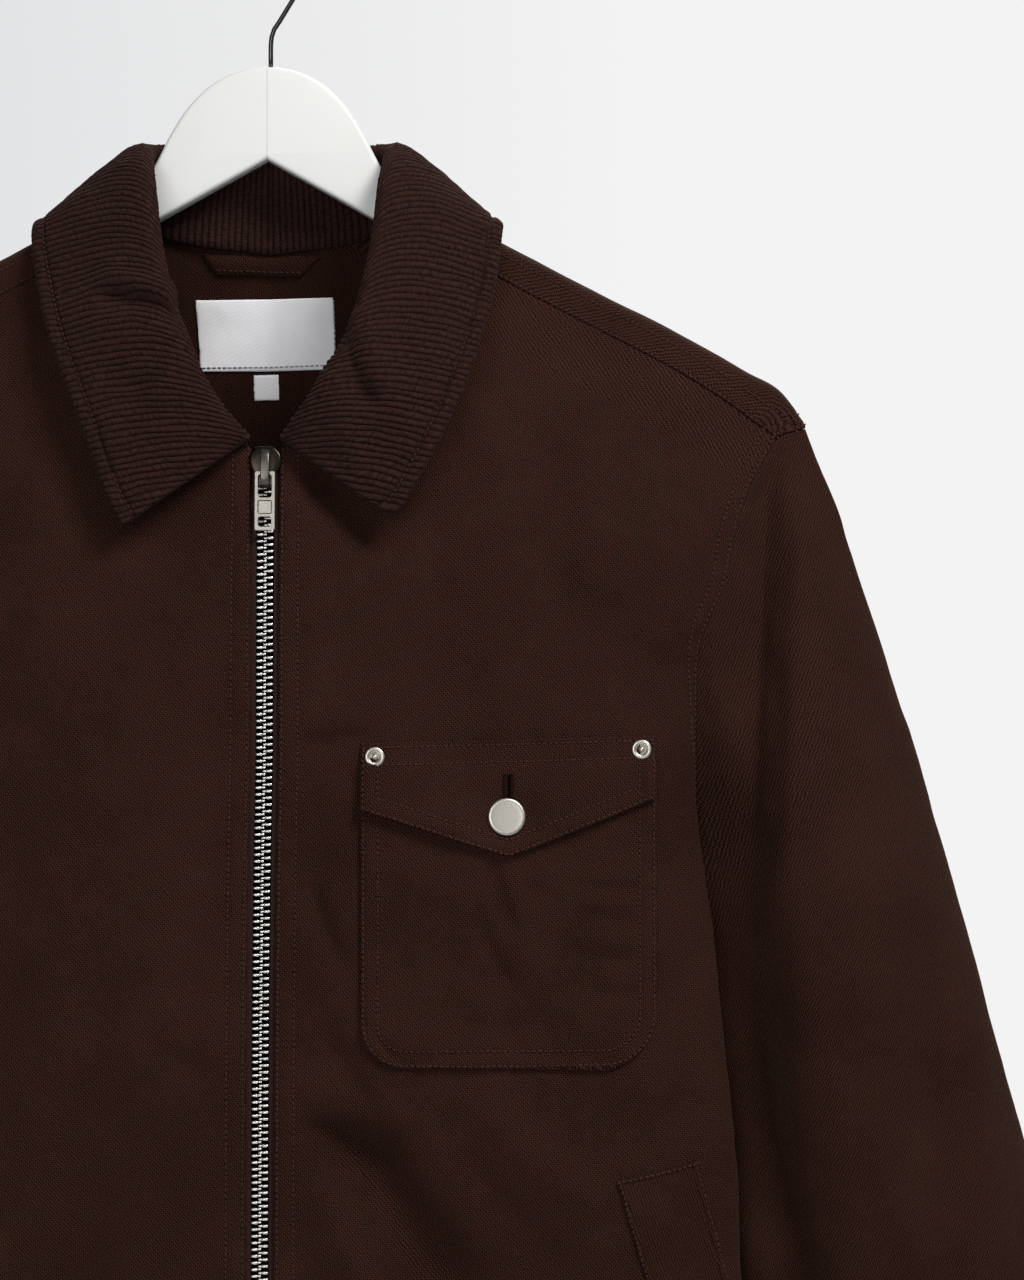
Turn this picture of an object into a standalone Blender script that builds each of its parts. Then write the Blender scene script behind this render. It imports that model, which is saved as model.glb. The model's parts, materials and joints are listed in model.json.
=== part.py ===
"""Canvas work jacket with a corduroy collar, hanging on its hanger.

The origin is the inside top of the hook, where it hangs. +Z is up, the front of
the jacket faces -Y and the wearer's left is at +X. Sizes are in millimetres and
every mesh is written in metres.
"""
import math
from collections import namedtuple

import bmesh
import bpy
import numpy as np
from mathutils import Matrix, Vector

MM = 0.001
GAP = 0.35              # between pieces at seams
CLOTH = 1.4             # canvas
PLY = 1.2               # pockets, flap, welts and collar layers
RIDGE = 11.0            # radius of the cloth over the hanger's arm
OPENING = 120.0         # drop over which the body opens out below the ridge
POWER = 3.5             # squareness of the body's sections

HEM_Z = -802.0
UNDERARM_Z = -452.0
FRONT_NECK_Z = -250.6
BACK_NECK_Z = -153.8
FRONT_DEPTH = 58.0
BACK_DEPTH = 50.0
ZIP_HALF = 6.6          # from the middle of the zip to a front's edge
ZIP_TOP_Z = -251.5
TEETH_HALF = 3.65
TAPE_HALF = 12.0

COLUMNS = 10            # quads across a front and a half back
TURN_AT = 0.7           # share of the way across where the body starts to turn
TURN_SHARE = 0.82       # depth left there
LOW_ROWS = 8            # rows from hem to underarm
HIGH_ROWS = 10          # rows from underarm to shoulder
SLEEVE_RINGS = 10

WIRE = 1.1              # radius of the hook's wire
HOOK_RADIUS = 20.5      # of the hook's ring, along the wire
STEM_X = 1.3
ARM_BELOW = 4.2         # the hanger's arm under the ridge of the cloth
HANGER_HALF = 6.0       # half thickness

# Where the shoulder ridge lies: its height at a distance from the middle.
Ridge = namedtuple("Ridge", "x z")
RIDGE_LINE = [
    Ridge(0, -99), Ridge(77.5, -136), Ridge(107, -152), Ridge(155, -177),
    Ridge(189, -194), Ridge(222, -212.6), Ridge(239.5, -223.5), Ridge(250, -238.5),
    Ridge(270, -283),
]
# Sections of the body, from the hem up. half_width is the section's own, tuck is
# how far the side folds in, and armhole is how much of the depth is left there.
Section = namedtuple("Section", "z half_width tuck armhole")
BODY = [
    Section(-802, 232, 26, 0), Section(-720, 231.5, 36, 0), Section(-627, 229.2, 42, 0),
    Section(-562, 226.1, 45, 0), Section(-531, 222.9, 45, 0), Section(-489, 218.3, 43, 0),
    Section(-452, 213, 38, 0), Section(-427, 207.9, 31, 0.22), Section(-401, 205, 23, 0.36),
    Section(-374, 204.5, 15, 0.49), Section(-340, 213, 8, 0.635), Section(-313, 228, 3, 0.668),
    Section(-289, 236, 0, 0.69), Section(-273, 242, 0, 0.694), Section(-256, 253, 0, 0.718),
    Section(-245, 262, 0, 0.715), Section(-205, 276, 0, 0.75), Section(-100, 284, 0, 0.8),
]
# The neckline, from the front neck point to the forward seam, and from the
# centre back out to the shoulder.
Neck = namedtuple("Neck", "share x z")
FRONT_NECK = [
    Neck(0, 6.6, -250.6), Neck(0.17, 28, -243.9), Neck(0.36, 46.8, -228.4),
    Neck(0.58, 61.8, -204.7), Neck(0.8, 72.2, -179.4), Neck(1, 80.7, -157),
]
FRONT_NECK_LENGTH = 132.0
BACK_NECK = [
    Neck(0, 0, -153.8), Neck(0.28, 20, -153), Neck(0.57, 41, -150),
    Neck(0.8, 56, -146.4), Neck(1, 67.5, -142.2),
]
BACK_NECK_LENGTH = 70.0
# The strip of the back that comes over the ridge: angle from the top, with the
# ends at the neck and at the armhole.
Over = namedtuple("Over", "turn neck_x arm_x")
OVER_RIDGE = [
    Over(-90, 67.5, 244.5), Over(-45, 74, 248.6), Over(0, 77.5, 250),
    Over(45, 79.5, 248.6), Over(90, 80.2, 244.5),
]
SEAM_DROP_NECK = 18.5
SEAM_DROP_ARM = 25.5
SEAM_NECK_X = 80.7
SEAM_ARM_X = 234.9
# Sleeve rings: the outer and the inner line in front view and the half depth.
Ring = namedtuple("Ring", "share outer_x outer_z inner_x inner_z half_depth")
SLEEVE = [
    Ring(0, 250.3, -238.5, 175, -452, 30), Ring(0.1, 262, -270, 178.5, -462, 35),
    Ring(0.25, 285, -339, 187, -486, 42), Ring(0.4, 311.5, -427, 197.5, -522, 46),
    Ring(0.55, 335.5, -513, 210.5, -570, 46), Ring(0.7, 361.5, -611, 232, -648, 41),
    Ring(0.85, 392, -725, 268, -760, 34), Ring(1, 424, -838, 309, -870, 24),
]
# Collar stations from the front end round to the centre back: n is on the
# neckline, f on the fold and e on the leaf's outer edge.
Station = namedtuple("Station", "share nx ny nz fx fy fz ex ey ez roll")
COLLAR_LEFT = [
    Station(0.00, 9.8, -42.8, -248.7, 10.3, -47.5, -247.6, 57.8, -50.0, -282.3, 1.6),
    Station(0.10, 29.3, -41.9, -241.3, 22.0, -51.0, -230.4, 65.0, -49.5, -276.5, 4.0),
    Station(0.22, 49.6, -37.5, -222.6, 33.8, -52.0, -211.0, 85.3, -45.0, -238.0, 6.0),
    Station(0.34, 63.5, -31.0, -196.9, 44.8, -46.0, -186.0, 98.6, -34.0, -202.9, 7.0),
    Station(0.44, 71.9, -22.5, -175.4, 50.5, -37.0, -160.0, 105.5, -24.0, -176.0, 7.0),
    Station(0.53, 79.0, -11.6, -156.0, 53.5, -26.0, -133.0, 107.8, -16.5, -158.0, 7.0),
    Station(0.585, 78.6, -10.3, -147.0, 55.8, -15.0, -119.0, 108.5, -10.5, -149.5, 7.0),
    Station(0.608, 77.4, -7.4, -138.7, 56.5, -9.5, -114.5, 108.6, -5.5, -147.2, 7.0),
    Station(0.63, 76.0, 0.0, -135.6, 57.0, -4.0, -111.0, 108.5, 0.0, -146.3, 7.0),
    Station(0.675, 72.6, 7.6, -136.6, 56.2, 5.0, -108.5, 106.5, 10.5, -148.5, 7.0),
    Station(0.715, 66.0, 10.5, -140.8, 54.0, 11.5, -107.5, 102.0, 17.0, -153.0, 6.5),
    Station(0.80, 49.5, 13.4, -146.0, 46.0, 18.5, -107.0, 84.0, 22.0, -160.0, 6.0),
    Station(1.00, 0.0, 20.3, -152.0, 0.0, 25.0, -107.0, 0.0, 31.5, -171.0, 6.0),
]
COLLAR_RIGHT = [
    Station(0.00, 5.7, -42.8, -248.7, 6.1, -47.5, -247.6, 61.5, -50.0, -286.8, 1.6),
    Station(0.10, 28.3, -41.9, -241.6, 18.5, -51.0, -232.0, 69.5, -49.0, -271.0, 4.0),
    Station(0.22, 49.6, -37.5, -222.6, 30.5, -52.0, -211.0, 81.0, -45.5, -240.0, 6.0),
    Station(0.34, 63.5, -31.0, -196.9, 41.0, -46.0, -181.0, 96.4, -34.0, -200.0, 7.0),
    Station(0.44, 71.9, -22.5, -175.4, 47.5, -37.0, -158.0, 103.0, -24.0, -177.0, 7.0),
    Station(0.53, 79.0, -11.6, -156.0, 51.5, -26.0, -132.0, 107.0, -16.5, -158.0, 7.0),
    Station(0.585, 78.6, -10.3, -147.0, 54.0, -15.0, -118.0, 108.0, -10.5, -149.5, 7.0),
    Station(0.608, 77.4, -7.4, -138.7, 54.9, -9.5, -114.0, 108.1, -5.5, -147.2, 7.0),
    Station(0.63, 76.0, 0.0, -135.6, 55.3, -4.0, -110.5, 108.0, 0.0, -146.3, 7.0),
    Station(0.675, 72.6, 7.6, -136.6, 55.2, 5.0, -108.5, 106.0, 10.5, -148.5, 7.0),
    Station(0.715, 66.0, 10.5, -140.8, 53.5, 11.5, -107.5, 101.5, 17.0, -153.0, 6.5),
    Station(0.80, 49.5, 13.4, -146.0, 46.0, 18.5, -107.0, 84.0, 22.0, -160.0, 6.0),
    Station(1.00, 0.0, 20.3, -152.0, 0.0, 25.0, -107.0, 0.0, 31.5, -171.0, 6.0),
]
# Main folds of the body in front view: a line, its half width and its height.
Fold = namedtuple("Fold", "x0 z0 x1 z1 spread height")
FOLDS_LEFT = [
    Fold(31, -558, 88, -636, 17, -4.5), Fold(88, -636, 124, -782, 26, -6.0),
    Fold(116, -550, 154, -610, 22, 3.0), Fold(74, -650, 82, -792, 24, 5.0),
    Fold(164, -650, 176, -797, 22, 6.0), Fold(64, -290, 88, -360, 24, -2.0),
]
FOLDS_RIGHT = [
    Fold(60, -570, 96, -650, 20, -4.0), Fold(96, -650, 104, -792, 26, -6.0),
    Fold(56, -660, 62, -792, 22, 5.0), Fold(156, -610, 164, -797, 24, 6.0),
    Fold(70, -300, 96, -390, 26, -2.5),
]
FOLDS_BACK = [
    Fold(40, -430, 34, -792, 26, 5.0), Fold(92, -490, 96, -792, 28, -6.0),
    Fold(150, -530, 150, -797, 24, 6.0), Fold(80, -215, 140, -340, 26, -2.5),
]
# The hanger's outline, right half, from the top of the dome to the shoulder.
DOME = [(0, -71.7), (10, -73), (19.5, -76.4), (27, -81), (33.2, -86.7), (38.2, -92.6),
        (42.2, -98.7), (45.9, -105), (49.6, -112.6), (54.5, -121), (61.5, -129.5),
        (69.5, -135.2)]
ARM_TIP = [(228, -222), (233.5, -226), (236.5, -232), (236, -239), (231, -244.5)]
V_APEX_Z = -114.6
# Patterns of what is sewn on the fronts, as convex outlines in front view.
POCKET = [(45.5, -392), (178.3, -392), (178.3, -511), (177, -518), (172.6, -524),
          (166, -527.6), (159, -528.4), (65, -529.6), (57, -528.5), (50.5, -524),
          (46.6, -517.5), (45.5, -510)]
FLAP = [(45.5, -383.5), (178.3, -380.5), (178.3, -408.7), (112.8, -435.2), (45.5, -414.2)]
BUTTON_AT = (110.9, -416.5)
RIVETS_AT = [(51.7, -389.8), (172.0, -386.8)]
WELT_LENGTH = 145.0
WELT_SLANT = 0.3
# The slider lies at SLIDER_Z; sizes along the zip are measured from there.
SLIDER_Z = -256.0
PULL_DOWN = 6.4         # the pull's axis below the slider's middle

Colour = namedtuple("Colour", "red green blue roughness metallic")
CANVAS = Colour(0.028, 0.0125, 0.0105, 0.85, 0)
CORDUROY = Colour(0.024, 0.011, 0.0095, 0.9, 0)
TAPE = Colour(0.02, 0.009, 0.008, 0.9, 0)
PAINTED_WOOD = Colour(0.8, 0.8, 0.78, 0.4, 0)
STEEL = Colour(0.6, 0.6, 0.6, 0.22, 1)
NICKEL = Colour(0.5, 0.49, 0.46, 0.3, 1)
LABEL = Colour(0.7, 0.7, 0.74, 0.8, 0)


def read(table, column, at, key="share"):
    """Smooth value of one column of a table at the given keys."""
    keys = np.array([getattr(row, key) for row in table], float)
    values = np.array([getattr(row, column) for row in table], float)
    slopes = np.gradient(values, keys)
    at = np.clip(np.asarray(at, float), keys[0], keys[-1])
    cell = np.clip(np.searchsorted(keys, at, side="right") - 1, 0, len(keys) - 2)
    width = keys[cell + 1] - keys[cell]
    t = (at - keys[cell]) / width
    rise = values[cell + 1] - values[cell]
    a = slopes[cell] * width - rise
    b = rise - slopes[cell + 1] * width
    return values[cell] + t * rise + t * (1 - t) * (a * (1 - t) + b * t)


def smooth_step(t):
    """Eased 0 to 1."""
    t = np.clip(t, 0.0, 1.0)
    return t * t * (3 - 2 * t)


def ridge(x):
    """Height of the shoulder ridge at a distance from the middle."""
    return read(RIDGE_LINE, "z", np.abs(x), "x")


def zip_x(z):
    """The zip drifts a little towards the wearer's right on its way down."""
    return 2.1 - 2.6 * (FRONT_NECK_Z - z) / 375.0


def depth(x, z, share, face):
    """Half depth of the body: round over the arm, then opening out below it."""
    full = FRONT_DEPTH if face > 0 else BACK_DEPTH
    h = np.maximum(ridge(x) - z, 0.0)
    arc = np.sqrt(np.maximum(RIDGE ** 2 - (RIDGE - np.minimum(h, RIDGE)) ** 2, 0.0))
    spread = 1 - np.exp(-(np.maximum(h - RIDGE, 0) / OPENING) ** 1.2)
    hold = 1 - np.exp(-h / 50.0)
    return (arc + (full - RIDGE) * spread) * np.maximum(share, 1e-9) ** hold


def section(z, face):
    """Girth, x and y of the half section at height z, centre to side."""
    turn = np.linspace(0, math.pi / 2, 181)
    share = np.cos(turn) ** (2 / POWER)
    share[-1] = 0.0
    across = np.sin(turn) ** (2 / POWER)
    x = read(BODY, "half_width", z, "z") * across
    y = depth(x, z, share, face)
    y[-1] = 0.0
    x = x - read(BODY, "tuck", z, "z") * np.exp(-(share / 0.35) ** 2)
    girth = np.concatenate([[0.0], np.cumsum(np.hypot(np.diff(x), np.diff(y)))])
    return girth, x, y, share


def fold_height(x, z, folds):
    """Sum of the folds at a place in front view, each fading out at its ends."""
    total = 0.0
    for fold in folds:
        dx, dz = fold.x1 - fold.x0, fold.z1 - fold.z0
        along = ((x - fold.x0) * dx + (z - fold.z0) * dz) / (dx * dx + dz * dz)
        near = min(max(along, 0.0), 1.0)
        off = math.hypot(x - fold.x0 - near * dx, z - fold.z0 - near * dz)
        total += fold.height * math.exp(-(off / fold.spread) ** 2)
    return total


def body_point(girth, z, face, folds):
    """Point of the body at a girth from the centre line, on one face."""
    s, x, y, share = section(z, face)
    px = float(np.interp(girth, s, x))
    py = float(np.interp(girth, s, y))
    left = float(s[-1]) - girth
    calm = float(smooth_step(left / 45.0) * smooth_step((px - 12) / 30.0))
    lift = fold_height(px, z, folds) * calm
    return np.array([px, -face * (py + lift), z])


def girth_at_x(x, z, face):
    s, xs, y, share = section(z, face)
    peak = int(np.argmax(xs)) + 1
    return float(np.interp(x, xs[:peak], s[:peak]))


def girth_at_share(part, z, face):
    s, xs, y, share = section(z, face)
    return float(np.interp(part, share[::-1], s[::-1]))


def seam_drop(u):
    """How far the forward shoulder seam lies below the ridge."""
    return SEAM_DROP_NECK + (SEAM_DROP_ARM - SEAM_DROP_NECK) * u ** 6


def ridge_row(neck_x, arm_x, drop_neck, drop_arm, face, columns):
    """A row that follows the shoulder ridge, at a drop below it."""
    row = []
    for u in np.linspace(0, 1, columns + 1):
        x = neck_x + (arm_x - neck_x) * u
        drop = drop_neck + (drop_arm - drop_neck) * u ** 6
        z = float(ridge(x)) - drop
        width = float(read(BODY, "half_width", z, "z"))
        share = max(1 - (x / width) ** POWER, 0.0) ** (1 / POWER)
        row.append(np.array([x, -face * float(depth(x, z, share, face)), z]))
    return np.array(row)


def across(u, start, end_share, z, face):
    """Girth at a share of the way across a row.

    The first seven tenths run to where the front turns to the side, and the rest
    follow the turn, so that one column lies along the turning edge.
    """
    turn = girth_at_share(TURN_SHARE, z, face)
    if u <= TURN_AT:
        return start + (turn - start) * u / TURN_AT
    way = (u - TURN_AT) / (1 - TURN_AT)
    return girth_at_share(TURN_SHARE + (end_share - TURN_SHARE) * way, z, face)


def fan_rows(face, folds, top_row, low_left, high_left, top_arm_z):
    """Rows from the hem up, level at first, then fanning up to the top row."""
    rows = []
    for z in np.linspace(HEM_Z, UNDERARM_Z, LOW_ROWS + 1):
        start = girth_at_x(low_left(z), z, face) if low_left(z) > 0 else 0.0
        rows.append([body_point(across(u, start, 0.0, z, face), z, face, folds)
                     for u in np.linspace(0, 1, COLUMNS + 1)])
    for j in range(1, HIGH_ROWS):
        t = j / HIGH_ROWS
        lx, lz = high_left(t)
        rz = UNDERARM_Z + (top_arm_z - UNDERARM_Z) * t
        start = girth_at_x(lx, lz, face) if lx > 0 else 0.0
        end_share = float(read(BODY, "armhole", rz, "z"))
        stop = girth_at_share(end_share, rz, face)
        even = float(smooth_step((t - 0.3) / 0.5))
        row = []
        for k, u in enumerate(np.linspace(0, 1, COLUMNS + 1)):
            top_z = top_row[k][2]
            straight = top_row[0][2] + (top_row[-1][2] - top_row[0][2]) * u
            z = lz + (rz - lz) * u + (top_z - straight) * t ** 3 * math.sin(math.pi * u)
            turned = across(u, start, end_share, z, face)
            girth = turned + (start + (stop - start) * u - turned) * even
            row.append(body_point(girth, z, face, folds))
        rows.append(row)
    return rows


def front_grid(sign, folds):
    """Grid of a front, in mirrored coordinates so that its side is at +x."""
    def low_left(z):
        return sign * zip_x(z) + ZIP_HALF

    start_x = low_left(FRONT_NECK_Z)
    straight = FRONT_NECK_Z - UNDERARM_Z
    curve = FRONT_NECK_LENGTH

    def high_left(t):
        way = t * (straight + curve)
        if way <= straight:
            z = UNDERARM_Z + way
            return low_left(z), z
        part = (way - straight) / curve
        ease = (1 - part) * (start_x - FRONT_NECK[0].x)
        return float(read(FRONT_NECK, "x", part)) + ease, float(read(FRONT_NECK, "z", part))

    top = ridge_row(SEAM_NECK_X, SEAM_ARM_X, SEAM_DROP_NECK, SEAM_DROP_ARM, 1, COLUMNS)
    rows = fan_rows(1, folds, top, low_left, high_left, top[-1][2])
    rows.append(list(top))
    return np.array(rows)


def back_grid():
    """Grid of half the back, up its armhole, over the ridge and to the forward seam."""
    straight = BACK_NECK_Z - UNDERARM_Z
    curve = BACK_NECK_LENGTH

    def high_left(t):
        way = t * (straight + curve)
        if way <= straight:
            return 0.0, UNDERARM_Z + way
        part = (way - straight) / curve
        return float(read(BACK_NECK, "x", part)), float(read(BACK_NECK, "z", part))

    over = []
    for row in OVER_RIDGE:
        drop = RIDGE * (1 - math.cos(math.radians(row.turn)))
        face = 1 if row.turn > 0 else -1
        over.append(ridge_row(row.neck_x, row.arm_x, drop, drop, face, COLUMNS))
    rows = fan_rows(-1, FOLDS_BACK, over[0], lambda z: 0.0, high_left, over[0][-1][2])
    rows.extend(list(row) for row in over)
    seam = ridge_row(SEAM_NECK_X, SEAM_ARM_X, SEAM_DROP_NECK - GAP, SEAM_DROP_ARM - GAP,
                     1, COLUMNS)
    rows.append(list(seam))
    return np.array(rows)


def unit(vectors):
    length = np.linalg.norm(vectors, axis=-1, keepdims=True)
    return vectors / np.maximum(length, 1e-9)


def grid_normals(grid, wrap=False):
    """Normals of a grid from its neighbours, along rows and columns."""
    if wrap:
        along = np.roll(grid, -1, 1) - np.roll(grid, 1, 1)
    else:
        along = np.gradient(grid, axis=1)
    up = np.gradient(grid, axis=0)
    return unit(np.cross(along, up))


def material(name, colour):
    found = bpy.data.materials.get(name)
    if found:
        return found
    made = bpy.data.materials.new(name)
    made.use_nodes = True
    shader = made.node_tree.nodes["Principled BSDF"]
    shader.inputs["Base Color"].default_value = (colour.red, colour.green, colour.blue, 1)
    shader.inputs["Roughness"].default_value = colour.roughness
    shader.inputs["Metallic"].default_value = colour.metallic
    return made


def add_object(name, mesh, collection, skin):
    made = bpy.data.objects.new(name, mesh)
    mesh.materials.append(skin)
    collection.objects.link(made)
    return made


def wall(name, outer, inner, collection, skin, wrap=False, open_start=0):
    """Closed wall between two grids of the same shape, of triangles.

    wrap joins the last column to the first. open_start leaves the rim open along
    the first column for that many rows, where a mirror closes it.
    """
    rows, columns = outer.shape[:2]
    bm = bmesh.new()
    skins = []
    for grid in (outer, inner):
        skins.append([[bm.verts.new(Vector(p) * MM) for p in row] for row in grid])
    spans = columns if wrap else columns - 1

    def quad(a, b, c, d):
        bm.faces.new((a, b, c))
        bm.faces.new((a, c, d))

    for side, grid in enumerate(skins):
        for j in range(rows - 1):
            for i in range(spans):
                k = (i + 1) % columns
                corners = [grid[j][i], grid[j][k], grid[j + 1][k], grid[j + 1][i]]
                quad(*(corners if side == 0 else [corners[0], corners[3], corners[2],
                                                  corners[1]]))
    out, inn = skins
    for i in range(spans):
        k = (i + 1) % columns
        quad(out[0][k], out[0][i], inn[0][i], inn[0][k])
        quad(out[-1][i], out[-1][k], inn[-1][k], inn[-1][i])
    if not wrap:
        for j in range(rows - 1):
            if j >= open_start:
                quad(out[j][0], out[j + 1][0], inn[j + 1][0], inn[j][0])
            quad(out[j + 1][-1], out[j][-1], inn[j][-1], inn[j + 1][-1])
    bmesh.ops.recalc_face_normals(bm, faces=bm.faces)
    mesh = bpy.data.meshes.new(name)
    bm.to_mesh(mesh)
    bm.free()
    return add_object(name, mesh, collection, skin)


def flip_x(grid):
    """Mirror a grid to the wearer's right, keeping its faces outward."""
    turned = grid.copy()
    turned[..., 0] *= -1
    return turned[:, ::-1]


def patch(name, grid, normals, flat, outline, lift, thickness, collection, skin):
    """Piece cut from a panel's own facets by its outline, then moved out.

    flat gives each grid point's place on the pattern and outline is a convex
    list of pattern points. The places and normals ride along as vertex data.
    """
    bm = bmesh.new()
    place = bm.verts.layers.float_vector.new("place")
    out = bm.verts.layers.float_vector.new("out")
    rows, columns = grid.shape[:2]
    points = []
    for j in range(rows):
        line = []
        for i in range(columns):
            vert = bm.verts.new((flat[j][i][0], flat[j][i][1], 0.0))
            vert[place] = Vector(grid[j][i])
            vert[out] = Vector(normals[j][i])
            line.append(vert)
        points.append(line)
    for j in range(rows - 1):
        for i in range(columns - 1):
            a, b = points[j][i], points[j][i + 1]
            c, d = points[j + 1][i + 1], points[j + 1][i]
            bm.faces.new((a, b, c))
            bm.faces.new((a, c, d))
    middle = np.mean(np.array(outline, float), axis=0)
    for here, there in zip(outline, outline[1:] + outline[:1]):
        edge = Vector((there[0] - here[0], there[1] - here[1], 0.0))
        away = Vector((edge.y, -edge.x, 0.0)).normalized()
        if away.dot(Vector((middle[0] - here[0], middle[1] - here[1], 0.0))) > 0:
            away = -away
        parts = bm.verts[:] + bm.edges[:] + bm.faces[:]
        bmesh.ops.bisect_plane(bm, geom=parts, plane_co=(here[0], here[1], 0.0),
                               plane_no=away, clear_outer=True, dist=0.0001)
    bmesh.ops.dissolve_degenerate(bm, dist=0.01, edges=bm.edges[:])
    for vert in bm.verts:
        vert.co = (vert[place] + vert[out].normalized() * lift) * MM
    bmesh.ops.recalc_face_normals(bm, faces=bm.faces)
    bm.faces.ensure_lookup_table()
    facing = sum((f.normal.dot(f.verts[0][out]) for f in bm.faces), 0.0)
    if facing < 0:
        bmesh.ops.reverse_faces(bm, faces=bm.faces)
    mesh = bpy.data.meshes.new(name)
    bm.to_mesh(mesh)
    bm.free()
    made = add_object(name, mesh, collection, skin)
    shell = made.modifiers.new("thickness", "SOLIDIFY")
    shell.thickness = thickness * MM
    shell.offset = 1.0
    return made


def bezier(p0, p1, p2, p3, count):
    t = np.linspace(0, 1, count)[:, None]
    return (p0 * (1 - t) ** 3 + 3 * p1 * t * (1 - t) ** 2
            + 3 * p2 * t * t * (1 - t) + p3 * t ** 3)


def collar_profile(table, share, stand_points, leaf_points):
    """Middle of the collar's thickness from the neckline over the fold to the edge."""
    value = {name: float(read(table, name, share)) for name in Station._fields[1:]}
    neck = np.array([value["nx"], value["ny"], value["nz"]])
    fold = np.array([value["fx"], value["fy"], value["fz"]])
    edge = np.array([value["ex"], value["ey"], value["ez"]])
    to_neck = neck - fold
    to_edge = edge - fold
    over = unit(unit(to_edge) - unit(to_neck))
    reach = min(value["roll"], 0.45 * float(np.linalg.norm(to_neck)))
    stand = bezier(neck, neck - to_neck * 0.45, fold - over * reach, fold, stand_points)
    leaf = bezier(fold, fold + over * reach, fold + to_edge * 0.4 + over * reach * 0.35,
                  edge, leaf_points)
    return np.concatenate([stand, leaf[1:]])


def collar_grid():
    """Middle grid of the collar from its left front end round to its right one."""
    shares = [row.share for row in COLLAR_LEFT]
    long = [(a + b) / 2 for a, b in zip(shares, shares[1:]) if b - a > 0.095]
    shares = sorted(shares + long)
    left = [collar_profile(COLLAR_LEFT, s, 5, 6) for s in shares]
    right = [collar_profile(COLLAR_RIGHT, s, 5, 6) for s in shares]
    mirrored = [row * np.array([-1, 1, 1]) for row in right]
    return np.array(left + mirrored[-2::-1])


def sleeve_grid(hole, hole_normals):
    """Rings of a sleeve, from the armhole's own points down to the cuff."""
    count = len(hole)
    below = int(np.argmin(hole[:, 2]))
    step = np.linalg.norm(np.diff(np.vstack([hole, hole[:1]]), axis=0), axis=1)
    way = np.concatenate([[0.0], np.cumsum(step)])
    angle = np.empty(count)
    angle[:below + 1] = math.pi * way[:below + 1] / way[below]
    angle[below:] = math.pi + math.pi * (way[below:count] - way[below]) / (way[-1] - way[below])
    tangent = np.roll(hole, -1, 0) - np.roll(hole, 1, 0)
    away = unit(np.cross(hole_normals, tangent))
    low = smooth_step((-346 - hole[:, 2:]) / 40.0)
    start = hole + unit(away + hole_normals * low) * (GAP + 0.15 * low)
    rings = []
    for v in np.linspace(0, 1, SLEEVE_RINGS + 1):
        v = v ** 1.15
        outer = np.array([float(read(SLEEVE, "outer_x", v)), 0, float(read(SLEEVE, "outer_z", v))])
        inner = np.array([float(read(SLEEVE, "inner_x", v)), 0, float(read(SLEEVE, "inner_z", v))])
        centre, half = (outer + inner) / 2, (outer - inner) / 2
        thin = 1 - 0.5 * smooth_step((-np.cos(angle) - 0.1) / 0.6)
        thin = 1 - (1 - thin) * smooth_step((0.8 - v) / 0.3)
        deep = -float(read(SLEEVE, "half_depth", v)) * np.sin(angle) * thin
        ring = centre + np.cos(angle)[:, None] * half + deep[:, None] * np.array([0, 1, 0])
        top = outer - np.array([SLEEVE[0].outer_x, 0, SLEEVE[0].outer_z])
        bottom = inner - np.array([SLEEVE[0].inner_x, 0, SLEEVE[0].inner_z])
        lean = (1 + np.cos(angle))[:, None] / 2
        carried = start + top * lean + bottom * (1 - lean)
        blend = smooth_step(v / 0.32)
        rings.append(carried * (1 - blend) + ring * blend)
    return np.array(rings)


def disc(name, place, facing, radius, height, collection, skin, rim=0.3):
    """Round metal disc standing on the cloth."""
    bm = bmesh.new()
    bmesh.ops.create_cone(bm, cap_ends=True, segments=28, radius1=radius * MM,
                          radius2=radius * MM, depth=height * MM)
    mesh = bpy.data.meshes.new(name)
    bm.to_mesh(mesh)
    bm.free()
    made = add_object(name, mesh, collection, skin)
    facing = Vector(facing).normalized()
    made.rotation_euler = facing.to_track_quat("Z", "Y").to_euler()
    made.location = (Vector(place) + facing * height / 2) * MM
    edge = made.modifiers.new("rim", "BEVEL")
    edge.width = rim * MM
    edge.segments = 2
    edge.limit_method = "ANGLE"
    return made


def box(bm, size, centre):
    shape = Matrix.Translation(Vector(centre) * MM) @ Matrix.Diagonal((*(Vector(size) * MM), 1))
    bmesh.ops.create_cube(bm, size=1.0, matrix=shape)


def block(name, size, centre, collection, skin):
    bm = bmesh.new()
    box(bm, size, centre)
    mesh = bpy.data.meshes.new(name)
    bm.to_mesh(mesh)
    bm.free()
    return add_object(name, mesh, collection, skin)


def boolean(target, cutter, operation):
    cut = target.modifiers.new(cutter.name, "BOOLEAN")
    cut.operation = operation
    cut.object = cutter
    cut.solver = "EXACT"
    cutter.hide_render = True
    cutter.display_type = "WIRE"


def bake(made):
    """Replace an object's mesh by its finished one and drop the modifiers."""
    bpy.context.view_layer.update()
    ready = made.evaluated_get(bpy.context.evaluated_depsgraph_get())
    made.data = bpy.data.meshes.new_from_object(ready)
    made.modifiers.clear()
    return made


for old in list(bpy.data.objects):
    bpy.data.objects.remove(old, do_unlink=True)
parts = bpy.data.collections.new("canvas_work_jacket")
cutters = bpy.data.collections.new("cutters")
bpy.context.scene.collection.children.link(parts)
bpy.context.scene.collection.children.link(cutters)

canvas = material("brown canvas", CANVAS)
corduroy = material("brown corduroy", CORDUROY)
tape_cloth = material("zip tape", TAPE)
nickel = material("satin nickel", NICKEL)
steel = material("polished steel", STEEL)
white_wood = material("white painted wood", PAINTED_WOOD)
label_cloth = material("white label cloth", LABEL)

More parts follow.
